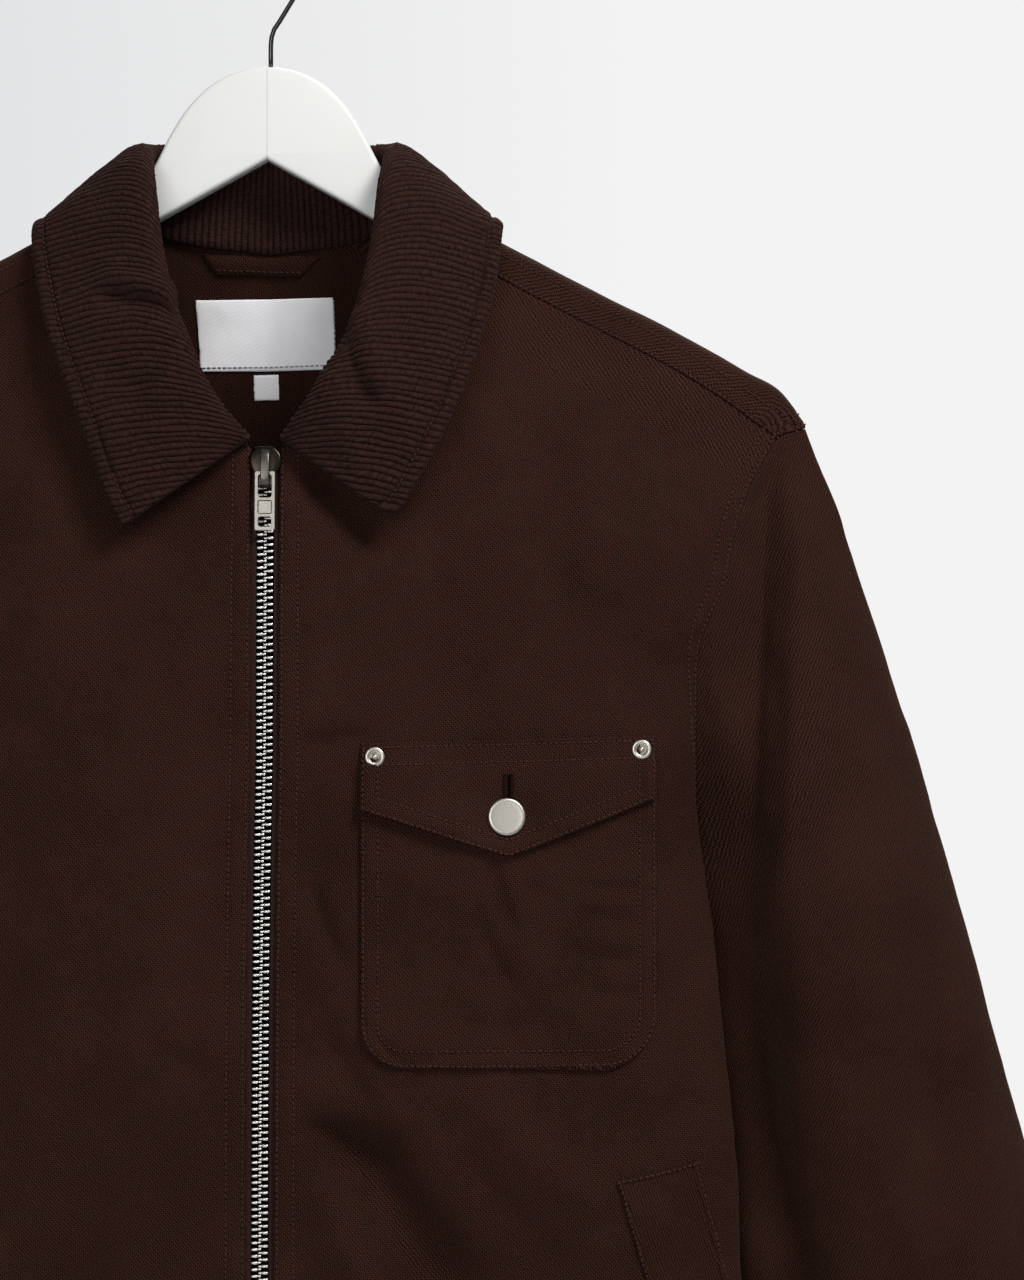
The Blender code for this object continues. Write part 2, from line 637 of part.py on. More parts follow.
# ---- body panels ---------------------------------------------------------
left_front = front_grid(1, FOLDS_LEFT)
right_front = front_grid(-1, FOLDS_RIGHT)
half_back = back_grid()
left_normals = grid_normals(left_front)
right_normals = grid_normals(right_front)
back_normals = -grid_normals(half_back)
back_normals[:, 0] = unit(back_normals[:, 0] * np.array([0, 1, 1]))

for normals in (left_normals, right_normals):
    shared = unit(normals[-1] + back_normals[-1])
    normals[-1] = shared
    for j in range(LOW_ROWS + 1):
        normals[j, -1] = (1, 0, 0)
back_normals[-1] = left_normals[-1]
for j in range(LOW_ROWS + 1):
    back_normals[j, -1] = (1, 0, 0)


def seam_back(grid, face):
    """Set the side edge back by half a seam gap."""
    moved = grid.copy()
    for j in range(LOW_ROWS + 1):
        moved[j, -1, 1] -= face * GAP / 2
    return moved


left_front = seam_back(left_front, 1)
right_front = seam_back(right_front, 1)
half_back = seam_back(half_back, -1)

wall("front_left", left_front, left_front - left_normals * CLOTH, parts, canvas)
wall("front_right", flip_x(right_front), flip_x(right_front - right_normals * CLOTH),
     parts, canvas)
back_rise = BACK_NECK_Z - UNDERARM_Z
neck_row = LOW_ROWS + int(HIGH_ROWS * back_rise / (back_rise + BACK_NECK_LENGTH))
back = wall("back", half_back, half_back - back_normals * CLOTH, parts, canvas,
            open_start=neck_row)
both = back.modifiers.new("other half", "MIRROR")
both.use_mirror_merge = True
both.merge_threshold = 0.0001

# ---- sleeves -------------------------------------------------------------
over_top = len(half_back) - 4
hole_points = [half_back[over_top + k, -1] for k in range(3)]
hole_normals = [back_normals[over_top + k, -1] for k in range(3)]
for sign, name in ((1, "sleeve_left"), (-1, "sleeve_right")):
    front = left_front if sign > 0 else right_front
    front_normals = left_normals if sign > 0 else right_normals
    loop = list(hole_points) + [front[-1 - k, -1] for k in range(HIGH_ROWS + 1)]
    turns = list(hole_normals) + [front_normals[-1 - k, -1] for k in range(HIGH_ROWS + 1)]
    loop += [half_back[k, -1] for k in range(LOW_ROWS + 1, over_top)]
    turns += [back_normals[k, -1] for k in range(LOW_ROWS + 1, over_top)]
    loop, turns = np.array(loop), np.array(turns)
    low_point = 3 + HIGH_ROWS
    loop[low_point] = (loop[low_point, 0], 0.0, loop[low_point, 2])
    sleeve = sleeve_grid(loop, turns)
    sleeve_normals = grid_normals(sleeve, wrap=True)
    high = smooth_step((loop[:, 2:] + 386) / 40.0)
    sleeve_normals[0] = unit(sleeve_normals[0] * (1 - high) + turns * high)
    inside = sleeve - sleeve_normals * CLOTH
    mirror = np.array([sign, 1, 1])
    wall(name, sleeve * mirror, inside * mirror, parts, canvas, wrap=True)

# ---- collar --------------------------------------------------------------
middle = collar_grid()
collar_out = grid_normals(middle)
if collar_out[len(middle) // 2, 2, 1] > 0:
    collar_out = -collar_out
for name, near, far, skin in (("collar_top", 0.25, 0.25 + PLY, corduroy),
                              ("collar_under", -0.25 - PLY, -0.25, canvas)):
    wall(name, middle + collar_out * far, middle + collar_out * near, parts, skin)

# ---- hanger --------------------------------------------------------------
half_outline = list(DOME)
for x in (77.5, 92, 107, 130, 155, 175, 189, 205, 217):
    half_outline.append((x, float(ridge(x)) - ARM_BELOW))
half_outline += ARM_TIP
outline = half_outline + [(0.0, V_APEX_Z)] + [(-x, z) for x, z in half_outline[:0:-1]]
curve = bpy.data.curves.new("hanger_outline", "CURVE")
curve.dimensions = "2D"
curve.fill_mode = "BOTH"
curve.extrude = HANGER_HALF * MM
spline = curve.splines.new("POLY")
spline.points.add(len(outline) - 1)
for point, (x, z) in zip(spline.points, outline):
    point.co = (x * MM, z * MM, 0.0, 1.0)
spline.use_cyclic_u = True
flat = bpy.data.objects.new("hanger_flat", curve)
parts.objects.link(flat)
flat.rotation_euler = (math.pi / 2, 0, 0)
bpy.context.view_layer.update()
ready = flat.evaluated_get(bpy.context.evaluated_depsgraph_get())
hanger_mesh = bpy.data.meshes.new_from_object(ready)
hanger_mesh.transform(flat.matrix_world)
bpy.data.objects.remove(flat, do_unlink=True)
bm = bmesh.new()
bm.from_mesh(hanger_mesh)
bmesh.ops.remove_doubles(bm, verts=bm.verts, dist=0.00001)
bm.to_mesh(hanger_mesh)
bm.free()
hanger = add_object("hanger_body", hanger_mesh, parts, white_wood)
rounded = hanger.modifiers.new("rounded", "BEVEL")
rounded.width = 1.4 * MM
rounded.segments = 2
rounded.limit_method = "ANGLE"
rounded.angle_limit = math.radians(60)
bm = bmesh.new()
bore_length = 24.0
bmesh.ops.create_cone(bm, cap_ends=True, segments=16, radius1=1.5 * MM, radius2=1.5 * MM,
                      depth=bore_length * MM)
bore_mesh = bpy.data.meshes.new("stem_bore")
bm.to_mesh(bore_mesh)
bm.free()
bore = bpy.data.objects.new("stem_bore", bore_mesh)
cutters.objects.link(bore)
bore.location = Vector((STEM_X, 0, DOME[0][1] - 15 + bore_length / 2)) * MM
boolean(hanger, bore, "DIFFERENCE")

ring_z = WIRE - HOOK_RADIUS
path = [(STEM_X, DOME[0][1] - 14.5), (STEM_X, -60.4), (1.6, -57.3), (2.7, -53.6), (4.6, -50.4)]
for turn in range(-34, 206, 8):
    a = math.radians(turn)
    path.append((HOOK_RADIUS * math.cos(a), ring_z + HOOK_RADIUS * math.sin(a)))
wire = bpy.data.curves.new("hanger_hook", "CURVE")
wire.dimensions = "3D"
wire.bevel_depth = WIRE * MM
wire.bevel_resolution = 2
wire.use_fill_caps = True
line = wire.splines.new("POLY")
line.points.add(len(path) - 1)
for point, (x, z) in zip(line.points, path):
    point.co = (x * MM, 0.0, z * MM, 1.0)
hook = bpy.data.objects.new("hanger_hook", wire)
parts.objects.link(hook)
wire.materials.append(steel)

# ---- zip -----------------------------------------------------------------
zip_rows = [j for j in range(len(left_front)) if left_front[j, 0, 2] < FRONT_NECK_Z - 0.1]
zip_line = [np.array([zip_x(left_front[j, 0, 2]), left_front[j, 0, 1], left_front[j, 0, 2]])
            for j in zip_rows if abs(left_front[j, 0, 0] - zip_x(left_front[j, 0, 2])
                                     - ZIP_HALF) < 0.05]
last = zip_line[-1] - zip_line[-2]
zip_line[-1] = zip_line[-2] + last * (ZIP_TOP_Z - zip_line[-2][2]) / last[2]
zip_line = np.array(zip_line)
slope = unit(np.array([0.0, last[1], last[2]]))
inward = np.array([0.0, slope[2], -slope[1]])


def strip(name, x0, x1, near, far, start, stop, skin):
    """Flat strip along the zip between two offsets behind the fronts' surface."""
    path = zip_line.copy()
    path[0] += (path[1] - path[0]) * (start - path[0, 2]) / (path[1, 2] - path[0, 2])
    path[-1] += (path[-1] - path[-2]) * (stop - path[-1, 2]) / (path[-1, 2] - path[-2, 2])
    across = np.linspace(x0, x1, 3)
    outer = path[:, None, :] + across[None, :, None] * np.array([1, 0, 0])
    wall(name, outer + inward * near, outer + inward * far, parts, skin)


strip("zip_tape_left", TEETH_HALF + 0.3, TAPE_HALF, 2.3, 3.1, HEM_Z + 2, ZIP_TOP_Z, tape_cloth)
strip("zip_tape_right", -TAPE_HALF, -TEETH_HALF - 0.3, 2.3, 3.1, HEM_Z + 2, ZIP_TOP_Z,
      tape_cloth)
strip("zip_chain", -TEETH_HALF, TEETH_HALF, 1.1, 3.3, HEM_Z + 22, SLIDER_Z - 0.6, nickel)

foot = zip_line[0]
block("zip_box", (6.8, 2.8, 12.0), (float(foot[0]), float(foot[1]) + 2.4, HEM_Z + 14.8),
      parts, nickel)

seat = zip_line[-2] + last * (SLIDER_Z - zip_line[-2][2]) / last[2]
lean = math.atan2(-slope[1], slope[2])
at_slider = Matrix.Translation(Vector(seat) * MM) @ Matrix.Rotation(lean, 4, "X")


def prism(points, y0, y1):
    """Prism of an outline in x and z between two offsets along y."""
    bm = bmesh.new()
    front = [bm.verts.new((x * MM, y0 * MM, z * MM)) for x, z in points]
    face = bm.faces.new(front)
    made = bmesh.ops.extrude_face_region(bm, geom=[face])
    moved = [v for v in made["geom"] if isinstance(v, bmesh.types.BMVert)]
    bmesh.ops.translate(bm, verts=moved, vec=(0, (y1 - y0) * MM, 0))
    bmesh.ops.recalc_face_normals(bm, faces=bm.faces)
    return bm


def solid(name, bm, collection, skin):
    mesh = bpy.data.meshes.new(name)
    bm.to_mesh(mesh)
    bm.free()
    return add_object(name, mesh, collection, skin)


def boxed(x0, x1, z0, z1):
    return [(x0, z0), (x1, z0), (x1, z1), (x0, z1)]


PLATE = [(-4.4, -12.6), (4.4, -12.6), (5.0, -6.5), (6.95, -4.4), (6.95, 3.2), (5.6, 5.6),
         (-5.6, 5.6), (-6.95, 3.2), (-6.95, -4.4), (-5.0, -6.5)]
slider = solid("zip_slider", prism(PLATE, -2.3, -0.7), parts, nickel)
pieces = [
    ("slider_back", prism([(x * 0.88, z) for x, z in PLATE], 4.05, 5.25)),
    ("slider_post", prism(boxed(-1.6, 1.6, 0.2, 5.0), -1.0, 4.3)),
    ("slider_wall_left", prism(boxed(4.15, 6.1, -4.2, 3.4), -1.0, 1.95)),
    ("slider_wall_right", prism(boxed(-6.1, -4.15, -4.2, 3.4), -1.0, 1.95)),
    ("bridge_top", prism(boxed(-2, 2, -12.4, 4.2), -6.2, -5.0)),
    ("bridge_upper", prism(boxed(-2, 2, 2.0, 4.2), -5.4, -2.0)),
    ("bridge_lower", prism(boxed(-2, 2, -12.4, -10.6), -5.4, -2.0)),
]
for name, shape in pieces:
    boolean(slider, solid(name, shape, cutters, nickel), "UNION")
bake(slider)
slider.matrix_world = at_slider

axis = at_slider @ Matrix.Translation(Vector((0, -3.65, -PULL_DOWN)) * MM)
TAB = [(-3.9, -26.2), (3.9, -26.2), (4.6, -25.4), (4.6, 0.2), (4.0, 0.85), (-4.0, 0.85),
       (-4.6, 0.2), (-4.6, -25.4)]
pull = solid("zip_pull", prism(TAB, -0.8, 0.8), parts, nickel)
boolean(pull, solid("upper_window", prism(boxed(-2.55, 2.55, -10.8, -0.85), -2, 2), cutters,
                    nickel), "DIFFERENCE")
boolean(pull, solid("lower_window", prism(boxed(-2.9, 2.9, -24.4, -19.7), -2, 2), cutters,
                    nickel), "DIFFERENCE")
bake(pull)
pull.data.transform(Matrix.Rotation(math.radians(3.0), 4, "X"))
pull.matrix_world = axis
for tool in list(cutters.objects):
    if tool is not bore:
        bpy.data.objects.remove(tool, do_unlink=True)

# ---- pocket, flap, welts -------------------------------------------------
flat_part = left_front[:, :COLUMNS]
flat_normals = left_normals[:, :COLUMNS]
front_view = flat_part[..., [0, 2]]
patch("chest_pocket", flat_part, flat_normals, front_view, POCKET, GAP, PLY, parts, canvas)
patch("chest_flap", flat_part, flat_normals, front_view, FLAP, 2 * GAP + PLY, PLY, parts,
      canvas)


def on_front(x, z, lift):
    """Place and facing on the left front's own facets."""
    best = None
    target = np.array([x, z])
    for j in range(len(left_front) - 1):
        for i in range(COLUMNS - 1):
            for corner in (((j, i), (j, i + 1), (j + 1, i + 1)),
                           ((j, i), (j + 1, i + 1), (j + 1, i))):
                tri = np.array([left_front[c] for c in corner])
                turn = np.array([left_normals[c] for c in corner])
                edges = np.column_stack([tri[1, [0, 2]] - tri[0, [0, 2]],
                                         tri[2, [0, 2]] - tri[0, [0, 2]]])
                b, c = np.linalg.solve(edges, target - tri[0, [0, 2]])
                if min(b, c, 1 - b - c) >= -1e-6:
                    weights = np.array([1 - b - c, b, c])
                    facing = unit(weights @ turn)
                    best = (weights @ tri + facing * lift, facing)
    return best


on_flap = 2 * GAP + 2 * PLY + GAP
place, facing = on_front(*BUTTON_AT, on_flap + 0.2)
disc("chest_button", place, facing, 8.5, 2.4, parts, nickel, 0.6)
for name, (x, z) in zip(("rivet_inner", "rivet_outer"), RIVETS_AT):
    place, facing = on_front(x, z, on_flap + 0.1)
    disc(name, place, facing, 4.5, 1.0, parts, nickel, 0.3)

for sign, name in ((1, "hand_welt_left"), (-1, "hand_welt_right")):
    grid = left_front if sign > 0 else right_front
    normals = left_normals if sign > 0 else right_normals
    low = grid[:LOW_ROWS + 1]
    flat = np.zeros((LOW_ROWS + 1, COLUMNS + 1, 2))
    for j in range(LOW_ROWS + 1):
        z = float(low[j, 0, 2])
        start = girth_at_x(float(low[j, 0, 0]), z, 1)
        flat[j, :, 0] = [across(u, start, 0.0, z, 1) for u in np.linspace(0, 1, COLUMNS + 1)]
        flat[j, :, 1] = z
    top_left = girth_at_x(160.5, -580.6, 1)
    top_right = girth_at_x(192.2, -573.0, 1)
    run = WELT_LENGTH * WELT_SLANT
    welt = [(top_left, -580.6), (top_right, -573.0),
            (top_right + run, -573.0 - WELT_LENGTH), (top_left + run, -580.6 - WELT_LENGTH)]
    turned = normals[:LOW_ROWS + 1]
    if sign < 0:
        low, turned = flip_x(low), flip_x(turned)
        flat = flip_x(flat)
        welt = [(-g, z) for g, z in welt]
    patch(name, low, turned, flat, welt, GAP + 0.15, PLY, parts, canvas)


# ---- inside the back neck --------------------------------------------------
def inside_back(name, top, bottom, gap, thickness, skin):
    """Flat cloth on the inner side of the back, between a top and a bottom edge."""
    near, far = [], []
    for v in np.linspace(0, 1, 4):
        near_row, far_row = [], []
        for u in np.linspace(0, 1, 5):
            high = np.array(top[0]) * (1 - u) + np.array(top[1]) * u
            base = np.array(bottom[0]) * (1 - u) + np.array(bottom[1]) * u
            x, z = base * (1 - v) + high * v
            y = float(depth(x, z, 1.0, -1)) - CLOTH - gap
            near_row.append((x, y - thickness, z))
            far_row.append((x, y, z))
        near.append(near_row)
        far.append(far_row)
    wall(name, np.array(near), np.array(far), parts, skin)


inside_back("neck_label", ((-35.8, -177.3), (29.2, -176.0)), ((-33.8, -210.7), (30.6, -209.4)),
            0.7, 0.6, label_cloth)
inside_back("size_tab", ((-9.0, -212.0), (2.8, -211.6)), ((-8.8, -223.8), (3.0, -223.5)),
            0.55, 0.5, label_cloth)
inside_back("neck_loop", ((-32.0, -156.0), (24.0, -157.0)), ((-25.5, -165.6), (14.0, -166.6)),
            0.55, 1.2, canvas)
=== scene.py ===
"""Looks of the canvas work jacket on its hanger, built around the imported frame.

Sizes are in millimetres in the tables and functions, and every mesh is written in
metres. +Z is up, the front faces -Y and the wearer's left is at +X.
"""
import json
import math
from collections import namedtuple

import bmesh
import bpy
import numpy as np
from mathutils import Matrix, Vector
from mathutils.bvhtree import BVHTree

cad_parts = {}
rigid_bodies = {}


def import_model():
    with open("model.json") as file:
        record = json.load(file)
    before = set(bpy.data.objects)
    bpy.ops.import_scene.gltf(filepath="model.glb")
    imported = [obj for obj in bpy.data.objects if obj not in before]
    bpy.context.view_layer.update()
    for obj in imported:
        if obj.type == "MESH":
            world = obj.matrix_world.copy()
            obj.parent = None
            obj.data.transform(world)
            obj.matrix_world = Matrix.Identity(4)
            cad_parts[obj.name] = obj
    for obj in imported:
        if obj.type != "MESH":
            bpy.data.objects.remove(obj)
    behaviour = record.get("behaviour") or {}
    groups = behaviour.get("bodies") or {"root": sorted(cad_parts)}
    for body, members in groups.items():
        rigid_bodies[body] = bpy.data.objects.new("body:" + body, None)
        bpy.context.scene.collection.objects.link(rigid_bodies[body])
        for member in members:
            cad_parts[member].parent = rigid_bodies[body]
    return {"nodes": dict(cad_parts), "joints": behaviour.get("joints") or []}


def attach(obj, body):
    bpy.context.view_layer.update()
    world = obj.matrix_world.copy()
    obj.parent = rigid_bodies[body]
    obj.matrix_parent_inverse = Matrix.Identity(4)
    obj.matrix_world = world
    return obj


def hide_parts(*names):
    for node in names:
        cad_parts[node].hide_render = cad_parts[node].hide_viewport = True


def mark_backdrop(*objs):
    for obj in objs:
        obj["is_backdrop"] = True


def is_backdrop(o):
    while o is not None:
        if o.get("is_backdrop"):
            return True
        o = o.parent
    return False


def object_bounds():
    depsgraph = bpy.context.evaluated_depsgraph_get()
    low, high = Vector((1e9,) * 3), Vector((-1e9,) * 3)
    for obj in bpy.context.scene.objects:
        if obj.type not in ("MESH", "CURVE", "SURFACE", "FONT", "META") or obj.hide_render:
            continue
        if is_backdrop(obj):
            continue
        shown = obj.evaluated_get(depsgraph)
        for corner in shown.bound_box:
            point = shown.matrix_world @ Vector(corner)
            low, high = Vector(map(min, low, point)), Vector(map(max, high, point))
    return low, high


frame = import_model()
for spare in [o for o in bpy.data.objects if o.name in ("Cube", "Light", "Camera")]:
    bpy.data.objects.remove(spare, do_unlink=True)
cad_low, cad_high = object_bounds()

MM = 0.001
GAP = 0.35              # air between cloths that lie on each other
CLOTH = 1.4             # thickness of a panel
PLY = 1.2               # thickness of a layer sewn on
RIDGE = 11.0            # radius of the shoulders' top edge
OPENING = 120.0         # drop over which the body opens out below the ridge
POWER = 3.5             # squareness of the body's level sections
HEM_Z = -802.0
UNDERARM_Z = -452.0
FRONT_DEPTH = 58.0
BACK_DEPTH = 50.0
ZIP_HALF = 6.6          # from the zip's line to a front's edge
ZIP_TOP_Z = -251.5
TEETH_HALF = 3.65
TAPE_HALF = 12.0
TURN_AT = 0.7           # share of a row, and of the depth, where it turns to the side
TURN_SHARE = 0.82
NEAR_TOP = 0.9          # share of the rise above which rows ease into the top row
WIRE = 1.1
HOOK_RADIUS = 20.5
STEM_X = 1.3
ARM_BELOW = 4.2         # from the ridge down to the hanger's arm
HANGER_HALF = 6.0
WALE = 2.8              # from one wale of the corduroy to the next
WALE_HEIGHT = 1.0
STITCH = 2.6            # from one stitch to the next
RISE = 0.15             # height of a row of stitches over the cloth
ZIP_ROWS = (1.2, 8.5)   # rows of stitches, by their distances from an edge
SIDE_ROWS = (1.6, 7.2)
SEAM_ROWS = (1.3, 11.0)
HEM_ROWS = (2.0, 20.0)
CUFF_ROWS = (2.0, 18.0)
POCKET_ROWS = (1.1, 7.5)
FLAP_ROWS = (2.2, 10.0)
COLLAR_ROW = 7.0
SLEEVE_AROUND = 176     # points around a sleeve
MIRROR = np.array([-1, 1, 1])
UPRIGHT = np.array([0, 1, 1])


def table(kind, *rows):
    return [kind(*row) for row in rows]


Ridge = namedtuple("Ridge", "x z")
RIDGE_LINE = table(Ridge, (0, -99), (77.5, -136), (107, -152), (155, -177), (189, -194),
    (222, -212.6), (239.5, -223.5), (250, -238.5), (270, -283))
# The body at each height: its half width, how far its sides are drawn in, and how deep
# the armhole's edge lies as a share of the whole depth.
Section = namedtuple("Section", "z half_width tuck armhole")
BODY = table(Section, (-802, 232, 26, 0), (-720, 231.5, 36, 0), (-627, 229.2, 42, 0),
    (-562, 226.1, 45, 0), (-531, 222.9, 45, 0), (-489, 218.3, 43, 0), (-452, 213, 38, 0),
    (-427, 207.9, 31, 0.22), (-401, 205, 23, 0.36), (-374, 204.5, 15, 0.49),
    (-340, 213, 8, 0.635), (-313, 228, 3, 0.668), (-289, 236, 0, 0.69), (-273, 242, 0, 0.694),
    (-256, 253, 0, 0.718), (-245, 262, 0, 0.715), (-205, 276, 0, 0.75), (-100, 284, 0, 0.8))
Neck = namedtuple("Neck", "share x z")
FRONT_NECK = table(Neck, (0, 6.6, -250.6), (0.17, 28, -243.9), (0.36, 46.8, -228.4),
    (0.58, 61.8, -204.7), (0.8, 72.2, -179.4), (1, 80.7, -157))
FRONT_NECK_LENGTH = 132.0
BACK_NECK = table(Neck, (0, 0, -153.8), (0.28, 20, -153), (0.57, 41, -150), (0.8, 56, -146.4),
    (1, 67.5, -142.2))
BACK_NECK_LENGTH = 70.0
# Where the rows end as they turn over the ridge, in degrees from the back to the front.
Over = namedtuple("Over", "turn neck_x arm_x")
OVER_RIDGE = table(Over, (-90, 67.5, 244.5), (-45, 74, 248.6), (0, 77.5, 250), (45, 79.5, 248.6),
    (90, 80.2, 244.5))
SEAM_DROP_NECK = 18.5
SEAM_DROP_ARM = 25.5
SEAM_NECK_X = 80.7
SEAM_ARM_X = 234.9
# Rings of the sleeve from the armhole to the cuff.
Ring = namedtuple("Ring", "share outer_x outer_z inner_x inner_z half_depth")
SLEEVE = table(Ring, (0, 250.3, -238.5, 175, -452, 30), (0.1, 262, -270, 178.5, -462, 35),
    (0.25, 285, -339, 187, -486, 42), (0.4, 311.5, -427, 197.5, -522, 46),
    (0.55, 335.5, -513, 204.5, -570, 46), (0.7, 361.5, -611, 214, -648, 41),
    (0.85, 392, -725, 256, -760, 34), (1, 424, -838, 309, -870, 24))
# Half the collar from its front end to the middle of the back: places on the neckline,
# the fold and the leaf's edge, and how round the fold is.
Station = namedtuple("Station", "share nx ny nz fx fy fz ex ey ez roll")
COLLAR_LEFT = table(Station, (0, 9.8, -42.8, -248.7, 10.3, -47.5, -247.6, 57.8, -56, -282.3, 1.6),
    (0.10, 29.3, -41.9, -241.3, 22, -51, -230.4, 65, -55.5, -276.5, 4),
    (0.22, 49.6, -37.5, -222.6, 33.8, -52, -211, 85.3, -50.5, -238, 6),
    (0.34, 63.5, -31, -196.9, 44.8, -46, -186, 98.6, -38.5, -202.9, 7),
    (0.44, 71.9, -22.5, -175.4, 50.5, -37, -160, 105.5, -26.5, -176, 7),
    (0.53, 79, -11.6, -156, 53.5, -26, -133, 107.8, -17.3, -158, 7),
    (0.585, 78.6, -10.3, -147, 55.8, -15, -119, 108.5, -10.5, -149.5, 7),
    (0.608, 77.4, -7.4, -138.7, 56.5, -9.5, -114.5, 108.6, -5.5, -147.2, 7),
    (0.63, 76, 0, -135.6, 57, -4, -111, 108.5, 0, -146.3, 7),
    (0.675, 72.6, 7.6, -136.6, 56.2, 5, -108.5, 106.5, 10.5, -148.5, 7),
    (0.715, 66, 10.5, -140.8, 54, 11.5, -107.5, 102, 17, -153, 6.5),
    (0.80, 49.5, 12.8, -149, 46, 18.5, -107, 84, 22, -160, 6),
    (1, 0, 19.3, -156.6, 0, 25, -107, 0, 31.5, -171, 6))
COLLAR_RIGHT = table(Station, (0, 5.7, -42.8, -248.7, 6.1, -47.5, -247.6, 61.5, -56, -286.8, 1.6),
    (0.10, 28.3, -41.9, -241.6, 18.5, -51, -232, 69.5, -55, -271, 4),
    (0.22, 49.6, -37.5, -222.6, 30.5, -52, -211, 81, -51, -240, 6),
    (0.34, 63.5, -31, -196.9, 41, -46, -181, 96.4, -38.5, -200, 7),
    (0.44, 71.9, -22.5, -175.4, 47.5, -37, -158, 103, -26.5, -177, 7),
    (0.53, 79, -11.6, -156, 51.5, -26, -132, 107, -17.3, -158, 7),
    (0.585, 78.6, -10.3, -147, 54, -15, -118, 108, -10.5, -149.5, 7),
    (0.608, 77.4, -7.4, -138.7, 54.9, -9.5, -114, 108.1, -5.5, -147.2, 7),
    (0.63, 76, 0, -135.6, 55.3, -4, -110.5, 108, 0, -146.3, 7),
    (0.675, 72.6, 7.6, -136.6, 55.2, 5, -108.5, 106, 10.5, -148.5, 7),
    (0.715, 66, 10.5, -140.8, 53.5, 11.5, -107.5, 101.5, 17, -153, 6.5)) + COLLAR_LEFT[-2:]
# Broad folds: a line in front view, how far they spread and their height.
Fold = namedtuple("Fold", "x0 z0 x1 z1 spread height")
FOLDS_LEFT = table(Fold, (31, -558, 88, -636, 17, -4.5), (88, -636, 124, -782, 26, -6),
    (116, -550, 154, -610, 22, 3), (74, -650, 82, -792, 24, 5), (164, -650, 176, -797, 22, 6),
    (64, -290, 88, -360, 24, -2))
FOLDS_RIGHT = table(Fold, (60, -570, 96, -650, 20, -4), (96, -650, 104, -792, 26, -6),
    (56, -660, 62, -792, 22, 5), (156, -610, 164, -797, 24, 6), (70, -300, 96, -390, 26, -2.5))
FOLDS_BACK = table(Fold, (40, -430, 34, -792, 26, 5), (92, -490, 96, -792, 28, -6),
    (150, -530, 150, -797, 24, 6), (80, -215, 140, -340, 26, -2.5))
# Creases worked into the cloth: a line in front view, its sideways bow, its half width,
# its height out of the cloth and how much steeper its first side is.
Crease = namedtuple("Crease", "x0 z0 x1 z1 bow width height lean")
CREASES_LEFT = table(Crease, (76, -262, 84, -330, 2, 11, -1.6, 0),
    (110, -232, 112, -352, -3, 16, 1.6, 0.1), (152, -226, 156, -360, 4, 17, 1.8, -0.1),
    (132, -240, 136, -330, 0, 10, -1.2, 0), (190, -300, 190, -395, -2, 9, 1.6, 0.3),
    (176, -300, 178, -380, 0, 10, -1.3, 0), (16, -383, 50, -378, 1.5, 4.5, -1.5, 0.4),
    (16, -374, 48, -371, 1, 7, 1, 0), (24, -446, 39, -484, 2, 4.5, -2.2, 0.3),
    (32, -442, 46, -476, 2, 6, 0.9, 0), (16, -528, 48, -518, 2, 8, -1.8, 0.3),
    (18, -553, 58, -574, -3, 5.5, -2.6, 0.5), (40, -560, 80, -640, -4, 14, -6, -0.25),
    (20, -543, 76, -557, -3, 8, 1.8, 0.2), (20, -253, 64, -296, 0, 13, -6, -0.2),
    (28, -508, 52, -548, 2, 6, -1.8, 0.2), (24, -576, 54, -660, -3, 9, 3.2, 0),
    (96, -540, 158, -592, 4, 10, 1.8, 0), (88, -560, 140, -618, 5, 9, -1.6, 0.2),
    (186, -480, 196, -560, 3, 8, -1.4, 0), (176, -540, 188, -640, 4, 10, 1.8, 0),
    (24, -300, 30, -372, 3, 8, 0.9, 0), (30, -400, 34, -440, -2, 7, 0.8, 0),
    (14, -600, 30, -700, 3, 9, -1.6, 0), (120, -650, 150, -790, 5, 14, -2.4, 0.2),
    (30, -680, 36, -790, -3, 12, 1.8, 0))
CREASES_RIGHT = table(Crease, (22, -254, 62, -298, 0, 13, -4.5, 0.2),
    (60, -300, 74, -400, 4, 16, -1.8, 0), (96, -250, 100, -380, -4, 18, 1.8, 0),
    (30, -330, 36, -420, 2, 10, 1, 0), (20, -430, 44, -470, 3, 7, -1.2, 0.3),
    (24, -520, 70, -560, -3, 9, -2.2, 0.3), (30, -500, 80, -535, -3, 10, 1.6, 0),
    (90, -430, 110, -560, 5, 16, 2, 0), (70, -570, 92, -680, -5, 11, -2.8, 0.3),
    (120, -560, 130, -690, 4, 14, 2.2, 0), (186, -480, 194, -570, -3, 9, -1.4, 0),
    (150, -250, 160, -390, 3, 15, -1.4, 0), (16, -610, 30, -720, 3, 10, -1.4, 0))
CREASES_BACK = table(Crease, (20, -200, 90, -260, 6, 14, -1.8, 0.2),
    (30, -190, 110, -232, 5, 14, 1.6, 0), (150, -270, 186, -400, -8, 12, -2.2, 0.3),
    (130, -290, 164, -420, -8, 14, 1.8, 0), (60, -380, 66, -560, 4, 16, -2, 0),
    (120, -460, 128, -640, 4, 14, 2.2, 0), (20, -520, 26, -700, 3, 14, -2, 0),
    (176, -470, 184, -640, 4, 10, -1.8, 0))
